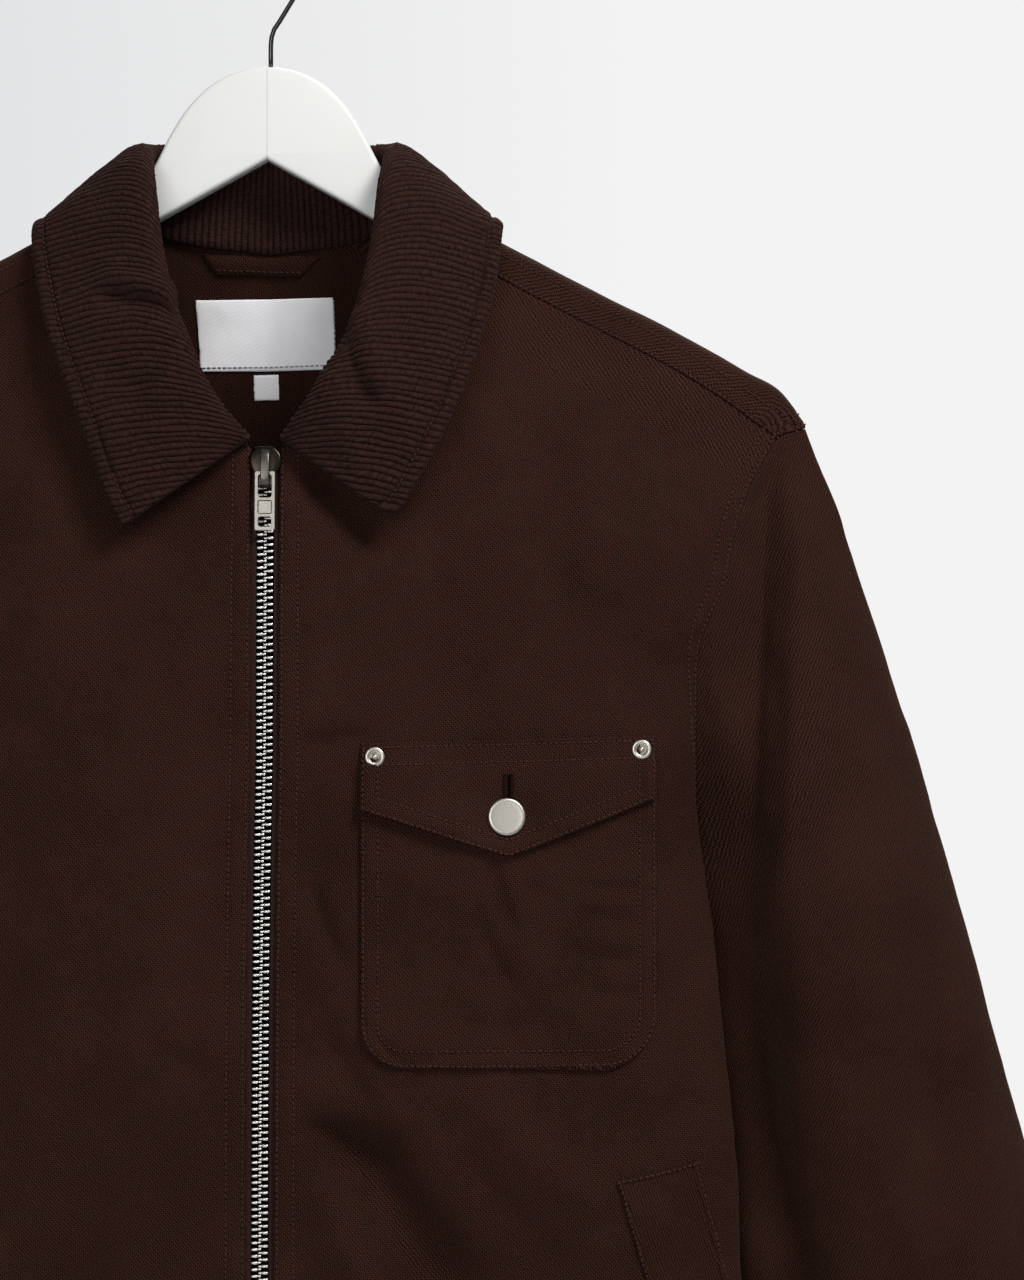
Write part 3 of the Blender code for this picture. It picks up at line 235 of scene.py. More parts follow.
# Sleeve, on the half that faces the front and on the half behind.
CREASES_SLEEVE = table(Crease, (235, -240, 220, -452, 2, 9, -6, 0.4),
    (247, -272, 241, -450, 2, 12.5, 7.5, -0.38), (230, -420, 222, -478, 2, 6, -2.6, 0.3),
    (262, -330, 270, -500, -4, 15, 2.6, 0), (276, -470, 272, -640, 3, 14, 2.2, 0),
    (222, -500, 240, -612, 2, 8, -4, 0.3), (243, -486, 258, -640, 2, 13, 4.5, -0.35),
    (300, -470, 318, -650, 3, 12, -2.4, 0), (240, -596, 262, -760, 3, 12, -4.6, 0),
    (222, -270, 224, -330, 0, 5, 1.2, 0), (322, -530, 352, -700, 3, 12, 2.2, 0),
    (262, -620, 300, -800, 8, 15, 2.4, 0.2), (330, -700, 366, -830, 6, 15, -2.6, 0),
    (300, -740, 330, -856, 4, 12, 2.2, 0), (276, -350, 296, -420, 3, 12, -1.2, 0))
CREASES_SLEEVE_BACK = table(Crease, (240, -250, 228, -380, 6, 9, -3.6, 0.2),
    (262, -300, 262, -440, -6, 14, 2.6, 0), (214, -440, 262, -500, 5, 8, -3, 0.3),
    (226, -520, 300, -560, 6, 9, -2.6, 0.3), (232, -545, 312, -590, 6, 10, 2.4, 0),
    (286, -600, 336, -800, 8, 15, -2.8, 0.2), (330, -600, 372, -790, 6, 15, 2.6, 0),
    (250, -620, 290, -760, 5, 12, 2, 0))
CREASES_LEAF_LEFT = table(Crease, (39, -195, 53, -233, 3, 4.5, -4.2, 0.5),
    (46, -188, 62, -230, 3, 6, 1.8, 0), (30, -214, 44, -256, 3, 7, 1.4, 0),
    (62, -170, 70, -236, 2, 9, -1, 0), (74, -130, 90, -200, 3, 12, 1.2, 0),
    (48, -244, 66, -262, 2, 7, -1, 0))
CREASES_LEAF_RIGHT = table(Crease, (33, -192, 73, -181, -2.5, 5.5, -4.2, 0.5),
    (32, -184, 72, -173, -2, 5, 2.4, 0), (48, -226, 72, -214, 2, 8, -2, 0),
    (36, -206, 46, -232, 2, 8, 1.6, 0), (60, -240, 78, -262, 2, 8, 1.2, 0),
    (80, -150, 96, -206, 3, 11, -1.2, 0))
DOME = [(0, -71.7), (10, -73), (19.5, -76.4), (27, -81), (33.2, -86.7), (38.2, -92.6),
        (42.2, -98.7), (45.9, -105), (49.6, -112.6), (54.5, -121), (61.5, -129.5),
        (69.5, -135.2)]
ARM_TIP = [(228, -222), (233.5, -226), (236.5, -232), (236, -239), (231, -244.5)]
V_APEX_Z = -114.6
POCKET_LEFT_X = 45.5
POCKET_RIGHT_X = 178.3
POCKET_TOP_Z = -392.0
POCKET_BOTTOM_Z = -529.0
FLAP_TOP = [(45.5, -383.5), (178.3, -380.5)]
FLAP_BOTTOM = [(45.5, -413.4), (111.8, -434.6), (178.3, -408.4)]
BUTTON_AT = (110.9, -416.5)
RIVETS_AT = [(51.7, -389.8), (172.0, -386.8)]
WELT_TOP = [(160.5, -580.6), (192.2, -573.0)]
WELT_LENGTH = 145.0
WELT_SLANT = 0.3
Drift = namedtuple("Drift", "z x")
ZIP_LINE = table(Drift, (-802, -0.4), (-625, 0.1), (-560, 0.28), (-510, 0.5), (-477, 0.8),
    (-444, 1.13), (-411, 1.67), (-388, 2.03), (-250, 1.95))
TOOTH_STEP = 3.0        # from one tooth to the next on its own tape
SLIDER_Z = -256.0
PULL_DOWN = 6.4
CREASES_POCKET = table(Crease, (105, -434, 116, -470, 2, 4.2, -2.4, 0.3),
    (99, -456, 113, -492, 3, 5.5, -2.6, 0.3), (114, -440, 124, -490, 3, 6, 2, 0),
    (92, -450, 100, -486, 2, 6, 1.4, 0), (118, -446, 138, -452, 2, 3.4, -1.2, 0.2),
    (136, -446, 172, -449, 1, 3.2, -1.1, 0.2), (142, -460, 173, -465, -1, 3.6, -1.3, 0.2),
    (138, -478, 172, -481, 1, 3.4, -1.2, 0.2), (146, -494, 172, -499, 1, 3.6, -1.4, 0),
    (140, -470, 170, -473, 1, 3.6, 1, 0), (60, -440, 66, -510, 2, 8, -1.6, 0),
    (76, -505, 140, -512, 2, 7, -1.3, 0), (54, -470, 92, -462, 2, 6, 1, 0),
    (60, -496, 104, -486, 2, 7, 1.1, 0))


def read(rows, column, at, key="share"):
    """Smooth value of one column of a table at the given keys."""
    keys, values = (np.array([getattr(row, k) for row in rows], float) for k in (key, column))
    slopes = np.gradient(values, keys)
    at = np.clip(np.asarray(at, float), keys[0], keys[-1])
    cell = np.clip(np.searchsorted(keys, at, side="right") - 1, 0, len(keys) - 2)
    width = keys[cell + 1] - keys[cell]
    t = (at - keys[cell]) / width
    rise = values[cell + 1] - values[cell]
    a = slopes[cell] * width - rise
    b = rise - slopes[cell + 1] * width
    return values[cell] + t * rise + t * (1 - t) * (a * (1 - t) + b * t)


def smooth_step(t):
    """Eased 0 to 1."""
    t = np.clip(t, 0.0, 1.0)
    return t * t * (3 - 2 * t)


def bell(value, middle, width):
    """Rises to 1 where a value is at the middle, and falls away on both sides."""
    return np.exp(-((value - middle) / width) ** 2)


def unit(vectors):
    length = np.linalg.norm(vectors, axis=-1, keepdims=True)
    return vectors / np.maximum(length, 1e-9)


def summed(steps, axis=1):
    """Running total of steps along an axis, from nought."""
    total = np.cumsum(steps, axis=axis)
    return np.concatenate([0 * np.take(total, [0], axis=axis), total], axis=axis)


def way_along(line):
    """How far along a line of points each of them is."""
    return summed(np.linalg.norm(np.diff(line, axis=0), axis=1), 0)


def pick(at, way, line):
    """Points of a line at distances along it."""
    return np.stack([np.interp(at, way, line[:, k]) for k in range(line.shape[1])], -1)


def noise(x, y, seed):
    """Smooth noise between -1 and 1 whose bumps are one unit apart."""
    lattice = np.random.default_rng(seed).uniform(-1, 1, (64, 64))
    x, y = np.broadcast_arrays(np.asarray(x, float), np.asarray(y, float))
    left, low = np.floor(x).astype(int), np.floor(y).astype(int)
    u, v = smooth_step(x - left), smooth_step(y - low)
    left, right = left % 64, (left + 1) % 64
    low, high = low % 64, (low + 1) % 64
    base = lattice[low, left] * (1 - u) + lattice[low, right] * u
    top = lattice[high, left] * (1 - u) + lattice[high, right] * u
    return base * (1 - v) + top * v


def crumple(x, y, size, seed):
    """Uneven surface of handled cloth, of three sizes of bump."""
    return (noise(x / size, y / size, seed)
            + 0.45 * noise(x * 2.1 / size, y * 2.1 / size, seed + 1)
            + 0.2 * noise(x * 4.3 / size, y * 4.3 / size, seed + 2))


def crease_height(x, z, creases):
    """Sum of the creases at places in front view, each tapering out at its ends."""
    total = np.zeros_like(x)
    for row in creases:
        dx, dz = row.x1 - row.x0, row.z1 - row.z0
        length = math.hypot(dx, dz)
        t = ((x - row.x0) * dx + (z - row.z0) * dz) / (length * length)
        side = ((x - row.x0) * dz - (z - row.z0) * dx) / length
        side = side - row.bow * 4 * t * (1 - t)
        wave = 1 + 0.25 * noise(t * length / 22.0, row.x0 / 7.0, 11)
        width = row.width * wave * np.where(side > 0, 1 + row.lean, 1 - row.lean)
        ends = smooth_step((t + 0.12) / 0.34) * smooth_step((1.12 - t) / 0.34)
        total += row.height * bell(side, 0, width) * ends
    return total


def ridge(x):
    """Height of the shoulder ridge at a distance from the middle."""
    return read(RIDGE_LINE, "z", np.abs(x), "x")


def zip_x(z):
    """The zip drifts a little towards the wearer's right on its way down."""
    return np.interp(z, *zip(*ZIP_LINE))


def depth(x, z, share, face):
    """Half depth of the body: round over the arm, then opening out below it."""
    full = FRONT_DEPTH if face > 0 else BACK_DEPTH
    h = np.maximum(ridge(x) - z, 0.0)
    arc = np.sqrt(np.maximum(RIDGE ** 2 - (RIDGE - np.minimum(h, RIDGE)) ** 2, 0.0))
    opened = 1 - np.exp(-(np.maximum(h - RIDGE, 0) / OPENING) ** 1.2)
    hold = 1 - np.exp(-h / 50.0)
    return (arc + (full - RIDGE) * opened) * np.maximum(share, 1e-9) ** hold


LEVELS = np.arange(-804.0, -128.0, 1.0)
PARTS = 600
SHARES = np.linspace(0, 1, 401)
Face = namedtuple("Face", "sign length x y by_share by_x")


def body_face(sign):
    """Tables of one face of the body: x and y along its girth at every level."""
    turn = np.linspace(0, math.pi / 2, 361)
    share = np.cos(turn) ** (2 / POWER)
    share[-1] = 0.0
    across = np.sin(turn) ** (2 / POWER)
    level = LEVELS[:, None]
    x = read(BODY, "half_width", LEVELS, "z")[:, None] * across
    y = depth(x, level, share, sign)
    y[:, -1] = 0.0
    x = x - read(BODY, "tuck", LEVELS, "z")[:, None] * bell(share, 0, 0.35)
    girth = summed(np.hypot(np.diff(x, axis=1), np.diff(y, axis=1)))
    even = np.linspace(0, 1, PARTS + 1)
    xs, ys, by_share, by_x = [], [], [], []
    for k in range(len(LEVELS)):
        at = even * girth[k, -1]
        xs.append(np.interp(at, girth[k], x[k]))
        ys.append(np.interp(at, girth[k], y[k]))
        by_share.append(np.interp(SHARES, share[::-1], girth[k, ::-1]))
        peak = int(np.argmax(x[k])) + 1
        by_x.append((x[k, :peak], girth[k, :peak]))
    return Face(sign, girth[:, -1], np.array(xs), np.array(ys), np.array(by_share), by_x)


def between(values, row, column):
    """Values between the entries of a grid, at rows and columns that needn't be whole."""
    j, i = row.astype(int), column.astype(int)
    shape = j.shape + (1,) * (values.ndim - 2)
    v, u = (row - j).reshape(shape), (column - i).reshape(shape)
    low = values[j, i] * (1 - u) + values[j, i + 1] * u
    high = values[j + 1, i] * (1 - u) + values[j + 1, i + 1] * u
    return low * (1 - v) + high * v


def lookup(values, z, part):
    """Value at levels and at parts of the way across."""
    z, part = np.broadcast_arrays(np.asarray(z, float), np.asarray(part, float))
    row = np.clip((z - LEVELS[0]) / (LEVELS[1] - LEVELS[0]), 0, len(LEVELS) - 1.001)
    return between(values, row, np.clip(part, 0, 1) * (values.shape[1] - 1.001))


def girth_at_share(part, z, face):
    return lookup(face.by_share, z, part)


def girth_at_x(x, z, face):
    row = (z - LEVELS[0]) / (LEVELS[1] - LEVELS[0])
    low, high = (float(np.interp(x, *face.by_x[int(row) + k])) for k in (0, 1))
    return low + (high - low) * (row - int(row))


def body_points(girth, z, face, folds):
    """Points of the body at girths from the centre line, on one face."""
    girth, z = np.broadcast_arrays(np.asarray(girth, float), np.asarray(z, float))
    total = np.interp(z, LEVELS, face.length)
    x = lookup(face.x, z, girth / total)
    y = lookup(face.y, z, girth / total)
    calm = smooth_step((total - girth) / 45.0) * smooth_step((x - 12) / 30.0)
    lift = np.zeros_like(x)
    for fold in folds:
        dx, dz = fold.x1 - fold.x0, fold.z1 - fold.z0
        along = ((x - fold.x0) * dx + (z - fold.z0) * dz) / (dx * dx + dz * dz)
        near = np.clip(along, 0.0, 1.0)
        off = np.hypot(x - fold.x0 - near * dx, z - fold.z0 - near * dz)
        lift += fold.height * bell(off, 0, fold.spread)
    return np.stack([x, -face.sign * (y + lift * calm), z], axis=-1)


def on_body(x, z, sign):
    """Places on a face of the body at x and z."""
    width = read(BODY, "half_width", z, "z")
    share = np.maximum(1 - (x / width) ** POWER, 0.0) ** (1 / POWER)
    return np.stack([x, -sign * depth(x, z, share, sign), z], axis=-1)


def ridge_row(neck_x, arm_x, drop_neck, drop_arm, sign, us):
    """A row that follows the shoulder ridge, at a drop below it."""
    x = neck_x + (arm_x - neck_x) * us
    return on_body(x, ridge(x) - (drop_neck + (drop_arm - drop_neck) * us ** 6), sign)


def across(us, start, end_share, z, face):
    """Girths at shares of the way across a row, one of them along the turning edge."""
    turn = girth_at_share(TURN_SHARE, z, face)
    way = np.clip((us - TURN_AT) / (1 - TURN_AT), 0, 1)
    past = girth_at_share(TURN_SHARE + (end_share - TURN_SHARE) * way, z, face)
    return np.where(us <= TURN_AT, start + (turn - start) * us / TURN_AT, past)


def fan_rows(face, folds, top, low_left, high_left, us, low_levels, high_parts):
    """Rows from the hem up, level at first, then fanning up to the top row."""
    rows, girths = [], []
    for z in low_levels:
        start = girth_at_x(low_left(z), z, face) if low_left(z) > 0 else 0.0
        girths.append(across(us, start, 0.0, z, face))
        rows.append(body_points(girths[-1], z, face, folds))
    straight = top[0, 2] + (top[-1, 2] - top[0, 2]) * us
    for t in high_parts:
        low = min(t, NEAR_TOP)
        lx, lz = high_left(low)
        rz = UNDERARM_Z + (top[-1, 2] - UNDERARM_Z) * low
        start = girth_at_x(lx, lz, face) if lx > 0 else 0.0
        end_share = float(read(BODY, "armhole", rz, "z"))
        stop = girth_at_share(end_share, rz, face)
        even = float(smooth_step((low - 0.3) / 0.5))
        z = lz + (rz - lz) * us + (top[:, 2] - straight) * (low ** 3 * np.sin(math.pi * us))
        turned = across(us, start, end_share, z, face)
        girths.append(turned + (start + (stop - start) * us - turned) * even)
        row = body_points(girths[-1], z, face, folds)
        if t > NEAR_TOP:
            near = (t - NEAR_TOP) / (1 - NEAR_TOP)
            flat = row[:, [0, 2]]
            to_top = (top[:, [0, 2]] - flat) * near
            slide = np.array(high_left(t)) - flat[0] - to_top[0]
            flat = flat + to_top + slide * ((1 - us) ** 2)[:, None]
            row = on_body(flat[:, 0], flat[:, 1], face.sign)
        rows.append(row)
    return rows, girths


def spread(length, step, first=(0.0,), last=(0.0,)):
    """Shares of a length, an odd number of them, closer together near its ends.

    first and last are the offsets from each end, in rising order.
    """
    low, high = first[-1], length - last[-1]
    ends = [length - d for d in last[-2::-1]] if len(last) > 1 else []
    for extra in (0, 1):
        count = max(int(round((high - low) / step)), 2) + extra
        places = np.concatenate([first[:-1], np.linspace(low, high, count + 1), ends])
        if len(places) % 2:
            return places / length


def grid_normals(grid, wrap=False):
    """Normals of a grid from its neighbours, along rows and columns."""
    if wrap:
        along = np.roll(grid, -1, 1) - np.roll(grid, 1, 1)
    else:
        along = np.gradient(grid, axis=1)
    up = np.gradient(grid, axis=0)
    return unit(np.cross(along, up))


def cloth_uv(grid, girths):
    """Pattern coordinates: girth across and length up the cloth, in millimetres."""
    up = summed(np.linalg.norm(np.diff(grid[..., 1:], axis=0), axis=-1), 0)
    return np.stack([girths, up + grid[0, :, 2]], axis=-1)


def distance_to(points, line):
    """Distance from points to a line of points."""
    best = np.full(points.shape[:-1], 1e9)
    for start, run in zip(line, np.diff(line, axis=0)):
        t = np.clip(((points - start) @ run) / max(run @ run, 1e-9), 0, 1)
        best = np.minimum(best, np.linalg.norm(points - start - t[..., None] * run, axis=-1))
    return best


def round_off(distance, radius, drop):
    """How far a cloth's face falls away near its own edge."""
    t = 1 - np.clip(distance / radius, 0, 1)
    return -drop * (1 - np.sqrt(1 - t * t))


def sewn(distance, rows, depth=0.3, width=0.75, puff=0.28):
    """Grooves along rows of stitches at distances from an edge, puffed up between them."""
    height = sum(-depth * bell(distance, at, width) for at in rows)
    middle, reach = (rows[0] + rows[-1]) / 2, max((rows[-1] - rows[0]) / 2.6, 0.8)
    return height + puff * bell(distance, middle, reach)


def pucker(edge, along, at, reach, height, spacing, seed):
    """Small gathers across a row of stitching that lies at a distance from an edge."""
    wave = noise(along / spacing, edge / 40.0, seed)
    wave = wave + 0.5 * noise(along * 2.3 / spacing, 0.5, seed + 1)
    return height * wave * bell(edge, at, reach)


def shell(name, outer, inner, uv, skin, wrap=False, keep=None, open_left=0, values=None,
          other=None, flip=False):
    """Closed cloth between a fine outer grid and an inner one with half its rows and columns.

    keep masks the inner grid's cells. open_left leaves the rim off the first column
    for that many inner rows, where the other half's grids are joined, given in
    mirrored coordinates. values are attributes on the outer grid. With wrap, uv has
    one column more, for the seam.
    """
    rows, columns = outer.shape[:2]
    ids = np.arange(rows * columns).reshape(rows, columns)
    ins = np.arange(inner.shape[0] * inner.shape[1]).reshape(inner.shape[:2]) + ids.size
    if wrap:
        ids = np.concatenate([ids, ids[:, :1]], axis=1)
        ins = np.concatenate([ins, ins[:, :1]], axis=1)
    high, wide = ins.shape[0] - 1, ins.shape[1] - 1
    keep = np.ones((high, wide), bool) if keep is None else keep
    fine = np.repeat(np.repeat(keep, 2, 0), 2, 1)
    faces, maps = [], []

    def quads(grid, places, mask, order):
        corners = (slice(None, -1), slice(1, None))
        cut = [(corners[j], corners[i]) for j, i in ((0, 0), (0, 1), (1, 1), (1, 0))]
        faces.extend(np.stack([grid[cut[k]] for k in order], -1)[mask].tolist())
        maps.extend(np.stack([places[cut[k]] for k in order], -2)[mask].tolist())

    quads(ids, uv, fine, (0, 1, 2, 3))
    quads(ins, uv[::2, ::2], keep, (0, 3, 2, 1))

    def rim(path, back):
        faces.append([int(ids[q]) for q in path] + [int(ins[q]) for q in back])
        maps.append([tuple(uv[q]) for q in path]
                    + [tuple(uv[2 * q[0], 2 * q[1]]) for q in back])

    for r, c in zip(*np.nonzero(keep)):
        j, i = 2 * r, 2 * c
        if r == 0 or not keep[r - 1, c]:
            rim([(j, i + 2), (j, i + 1), (j, i)], [(r, c), (r, c + 1)])
        if r == high - 1 or not keep[r + 1, c]:
            rim([(j + 2, i), (j + 2, i + 1), (j + 2, i + 2)], [(r + 1, c + 1), (r + 1, c)])
        if not wrap and (c == 0 and r >= open_left or c > 0 and not keep[r, c - 1]):
            rim([(j, i), (j + 1, i), (j + 2, i)], [(r + 1, c), (r, c)])
        if not wrap and (c == wide - 1 or not keep[r, c + 1]):
            rim([(j + 2, i + 2), (j + 1, i + 2), (j, i + 2)], [(r, c + 1), (r + 1, c + 1)])
    points = np.concatenate([outer.reshape(-1, 3), inner.reshape(-1, 3)])
    data = {key: np.concatenate([value.ravel(), value[::2, ::2].ravel()])
            for key, value in (values or {}).items()}
    if flip:
        faces, maps = [f[::-1] for f in faces], [m[::-1] for m in maps]
    if other:
        shift = len(points)
        faces += [[i + shift for i in f[::-1]] for f in faces]
        maps += [[(-q[0], q[1]) for q in m[::-1]] for m in maps]
        twin = np.concatenate([grid.reshape(-1, 3) for grid in other])
        points = np.concatenate([points, twin * MIRROR])
        data = {key: np.concatenate([value, value]) for key, value in data.items()}
    used = np.zeros(len(points), bool)
    used[[i for f in faces for i in f]] = True
    place = np.cumsum(used) - 1
    mesh = bpy.data.meshes.new(name)
    mesh.from_pydata((points[used] * MM).tolist(), [],
                     [[int(place[i]) for i in f] for f in faces])
    flat = np.array([q for m in maps for q in m], np.float32) * MM
    mesh.uv_layers.new(name="UVMap").data.foreach_set("uv", flat.ravel())
    for key, value in data.items():
        attribute = mesh.attributes.new(key, "FLOAT", "POINT")
        attribute.data.foreach_set("value", value[used].astype(np.float32))
    if other:
        bm = bmesh.new()
        bm.from_mesh(mesh)
        middle = [v for v in bm.verts if abs(v.co.x) < 0.00002]
        bmesh.ops.remove_doubles(bm, verts=middle, dist=0.00005)
        bm.to_mesh(mesh)
        bm.free()
    return add(name, mesh, skin)


def linked(name, data):
    """New object of a mesh, curve, lamp or camera, in the scene."""
    made = bpy.data.objects.new(name, data)
    bpy.context.scene.collection.objects.link(made)
    return made


def add(name, mesh, skin, smooth=True):
    """Object of a mesh with one material."""
    mesh.polygons.foreach_set("use_smooth", np.full(len(mesh.polygons), smooth))
    mesh.materials.append(skin)
    return linked(name, mesh)


def flip_x(grid):
    """Mirror a grid to the wearer's right, keeping its faces outward."""
    turned = grid.copy()
    turned[..., 0] *= -1
    return turned[:, ::-1]


def caster(*grids):
    """Tree that finds the front or back surface of cloth grids."""
    points, faces = [], []
    for grid in grids:
        rows, columns = grid.shape[:2]
        ids = np.arange(rows * columns).reshape(rows, columns) + len(points)
        points.extend(grid.reshape(-1, 3).tolist())
        quads = np.stack([ids[:-1, :-1], ids[:-1, 1:], ids[1:, 1:], ids[1:, :-1]], -1)
        faces.extend(quads.reshape(-1, 4).tolist())
    return BVHTree.FromPolygons(points, faces)


def front_of(tree, x, z):
    """Place on the cloth seen from the front, and the way it faces."""
    place, normal, _, _ = tree.ray_cast(Vector((x, -300, z)), Vector((0, 1, 0)))
    return place, -normal if place is not None and normal.y > 0 else normal


def lay_on(tree, x, z):
    """Places on the cloth at x and z, as seen from the front."""
    x, z = np.broadcast_arrays(np.asarray(x, float), np.asarray(z, float))
    found = np.zeros(x.shape + (3,))
    for index in np.ndindex(x.shape):
        hit = front_of(tree, x[index], z[index])[0]
        if hit is None:
            hit = tree.find_nearest(Vector((x[index], -45.0, z[index])))[0]
        found[index] = hit
    return found


Edges = namedtuple("Edges", "left right low high")


def edges_of(grid):
    """Distances over a grid from its first and last column and its first and last row."""
    left = summed(np.linalg.norm(np.diff(grid, axis=1), axis=-1))
    low = summed(np.linalg.norm(np.diff(grid, axis=0), axis=-1), 0)
    return Edges(left, left[:, -1:] - left, low, low[-1:] - low)


def row_at(grid, normals, field, distance, rows=slice(None)):
    """Line through a grid at a distance from one of its sides, with the facing there."""
    both = np.concatenate([grid, normals], axis=-1)
    line = []
    for j in range(len(grid))[rows]:
        order = np.argsort(field[j])
        line.append(pick(distance, field[j][order], both[j][order]))
    line = np.array(line)
    return line[:, :3] + line[:, 3:] * RISE, unit(line[:, 3:])


def column_at(grid, normals, field, distance):
    """The same along the rows, at a distance from the grid's lower or upper side."""
    return row_at(*(np.swapaxes(a, 0, 1) for a in (grid, normals, field)), distance)


def steps(start, stop, length, step, last=(0.0,)):
    """An even number of values after start, up to stop."""
    return start + (stop - start) * spread(length, step, (0.0,), last)[1:]


def inner_of(outer, normals, thickness):
    return (outer - normals * thickness)[::2, ::2]


FRONT = body_face(1)
BACK = body_face(-1)
Cloth = namedtuple("Cloth", "grid normals uv edges under neck")
stitches = []


def left_ends(neck, length, low_left):
    """Left ends of a panel's rows above the underarm: up its middle, then round the neck."""
    straight = neck[0].z - UNDERARM_Z
    neck_at = straight / (straight + length)
    start_x = low_left(neck[0].z)

    def high_left(t):
        if t <= neck_at:
            z = UNDERARM_Z + t * (straight + length)
            return low_left(z), z
        part = (t * (straight + length) - straight) / length
        ease = (1 - part) * (start_x - neck[0].x)
        return float(read(neck, "x", part)) + ease, float(read(neck, "z", part))

    return high_left, neck_at


def front_cloth(sign, folds, creases, seed):
    """Outer face of a front, in mirrored coordinates so that its side is at +x."""
    def low_left(z):
        return sign * zip_x(z) + ZIP_HALF

    high_left, neck_at = left_ends(FRONT_NECK, FRONT_NECK_LENGTH, low_left)
    us = spread(256, 2.6, (0, 0.35, 0.8, 1.2, 1.7, 2.8, 4.8, 6.6, 7.7, 8.5, 9.3, 10.6),
                (0, 0.7, 1.6, 2.3, 3.4, 5.0, 6.4, 7.2, 8.1, 9.8))
    levels = HEM_Z + (UNDERARM_Z - HEM_Z) * spread(350, 2.6, (0, 0.4, 0.9, 1.6, 2.6))
    parts = np.concatenate([steps(0, neck_at, 200, 2.6),
                            steps(neck_at, 1, 132, 2.6, (0, 0.6, 1.4))])
    top = ridge_row(SEAM_NECK_X, SEAM_ARM_X, SEAM_DROP_NECK, SEAM_DROP_ARM, 1, us)
    rows, girths = fan_rows(FRONT, folds, top, low_left, high_left, us, levels, parts[:-1])
    neck = len(levels) + int(np.argmin(np.abs(parts - neck_at)))
    return finish_panel(np.array(rows + [top]), np.array(girths + [girths[-1]]), creases,
                        seed, len(levels) - 1, neck, True)


def finish_panel(grid, girths, creases, seed, under, neck, front):
    """Work the creases and the uneven surface into a body panel, and round its edges."""
    def facing(grid):
        turned = grid_normals(grid) * (1 if front else -1)
        turned[:under + 1, -1] = (1, 0, 0)
        if not front:
            turned[:neck, 0] = unit(turned[:neck, 0] * UPRIGHT)
        return turned

    normals = facing(grid)
    edges = edges_of(grid)
    x, z = grid[..., 0], grid[..., 2]
    height = 1.3 * crease_height(x, z, creases)
    height += (0.75 * crumple(girths, z, 34.0, seed) + 0.2 * crumple(girths, z, 9.0, seed + 3)
               ) * (0.25 + 0.75 * smooth_step((ridge(x) - z) / 45.0))
    calm = smooth_step(edges.right / 12.0) * smooth_step(edges.high / 10.0)
    if front:
        calm = calm * smooth_step(edges.left / 10.0)
        calm = calm * (0.35 + 0.65 * smooth_step((edges.left - 6) / 10.0))
    else:
        calm = calm * smooth_step((x - 1) / 14.0)
    height *= calm
    row = np.arange(len(grid))[:, None]
    if front:
        zipped = np.where(row <= neck, edges.left, 99.0)
        height += round_off(zipped, 1.3, 0.8) + sewn(zipped, ZIP_ROWS)
        height += pucker(zipped, z, 4.8, 3.0, 0.42, 6.0, seed + 5)
    height += round_off(edges.low, 1.3, 0.8)
    height += pucker(edges.low, girths, 20.0, 6.0, 0.4, 8.0, seed + 7)
    side = np.where(row > under, edges.right, 99.0)
    height += round_off(side, 1.2, 0.7) + sewn(side, SIDE_ROWS)
    height += pucker(side, z, 4.5, 2.8, 0.36, 8.0, seed + 9)
    if not front:
        high = np.where(z > ridge(x) - 30, edges.high, 99.0)
        height += sewn(high, SEAM_ROWS, 0.3, 0.9) + round_off(high, 1.0, 0.6)
        height += pucker(high, x, 4.5, 3.0, 0.25, 8.0, seed + 11)
    moved = grid + normals * height[..., None]
    return Cloth(moved, facing(moved), cloth_uv(grid, girths), edges, under, neck)


def back_cloth(folds, creases, seed):
    """Outer face of half the back, over the ridge and down to the forward seam."""
    high_left, neck_at = left_ends(BACK_NECK, BACK_NECK_LENGTH, lambda z: 0.0)
    us = spread(262, 3.5, (0,), (0, 0.7, 1.6, 2.4, 4.4, 6.4, 7.2, 8.1, 10.0))
    levels = HEM_Z + (UNDERARM_Z - HEM_Z) * spread(350, 3.4, (0, 0.4, 0.9, 1.6))
    parts = np.concatenate([steps(0, neck_at, 290, 3.2), steps(neck_at, 1, 70, 3.0)])
    over = []
    for turn in range(-90, 91, 10):
        neck_x, arm_x = (float(read(OVER_RIDGE, k, turn, "turn")) for k in ("neck_x", "arm_x"))
        drop = RIDGE * (1 - math.cos(math.radians(turn)))
        over.append(ridge_row(neck_x, arm_x, drop, drop, 1 if turn > 0 else -1, us))
    end = np.array([OVER_RIDGE[-1].neck_x, OVER_RIDGE[-1].arm_x, RIDGE, RIDGE])
    seam = np.array([SEAM_NECK_X, SEAM_ARM_X, SEAM_DROP_NECK - GAP, SEAM_DROP_ARM - GAP])
    for t in (0.12, 0.22, 0.32, 0.5, 0.66, 0.8, 0.9, 1.0):
        over.append(ridge_row(*(end + (seam - end) * t), 1, us))
    rows, girths = fan_rows(BACK, folds, over[0], lambda z: 0.0, high_left, us, levels,
                            parts[:-1])
    neck = len(levels) + int(np.argmin(np.abs(parts - neck_at)))
    return finish_panel(np.array(rows + over), np.array(girths + [girths[-1]] * len(over)),
                        creases, seed, len(levels) - 1, neck, False)


def make_front(name, cloth, sign):
    grid, normals, uv = cloth.grid, cloth.normals, cloth.uv
    if sign < 0:
        grid, normals = flip_x(grid), flip_x(normals)
        uv = (uv * MIRROR[:2])[:, ::-1]
    return shell(name, grid, inner_of(grid, normals, CLOTH), uv, canvas)


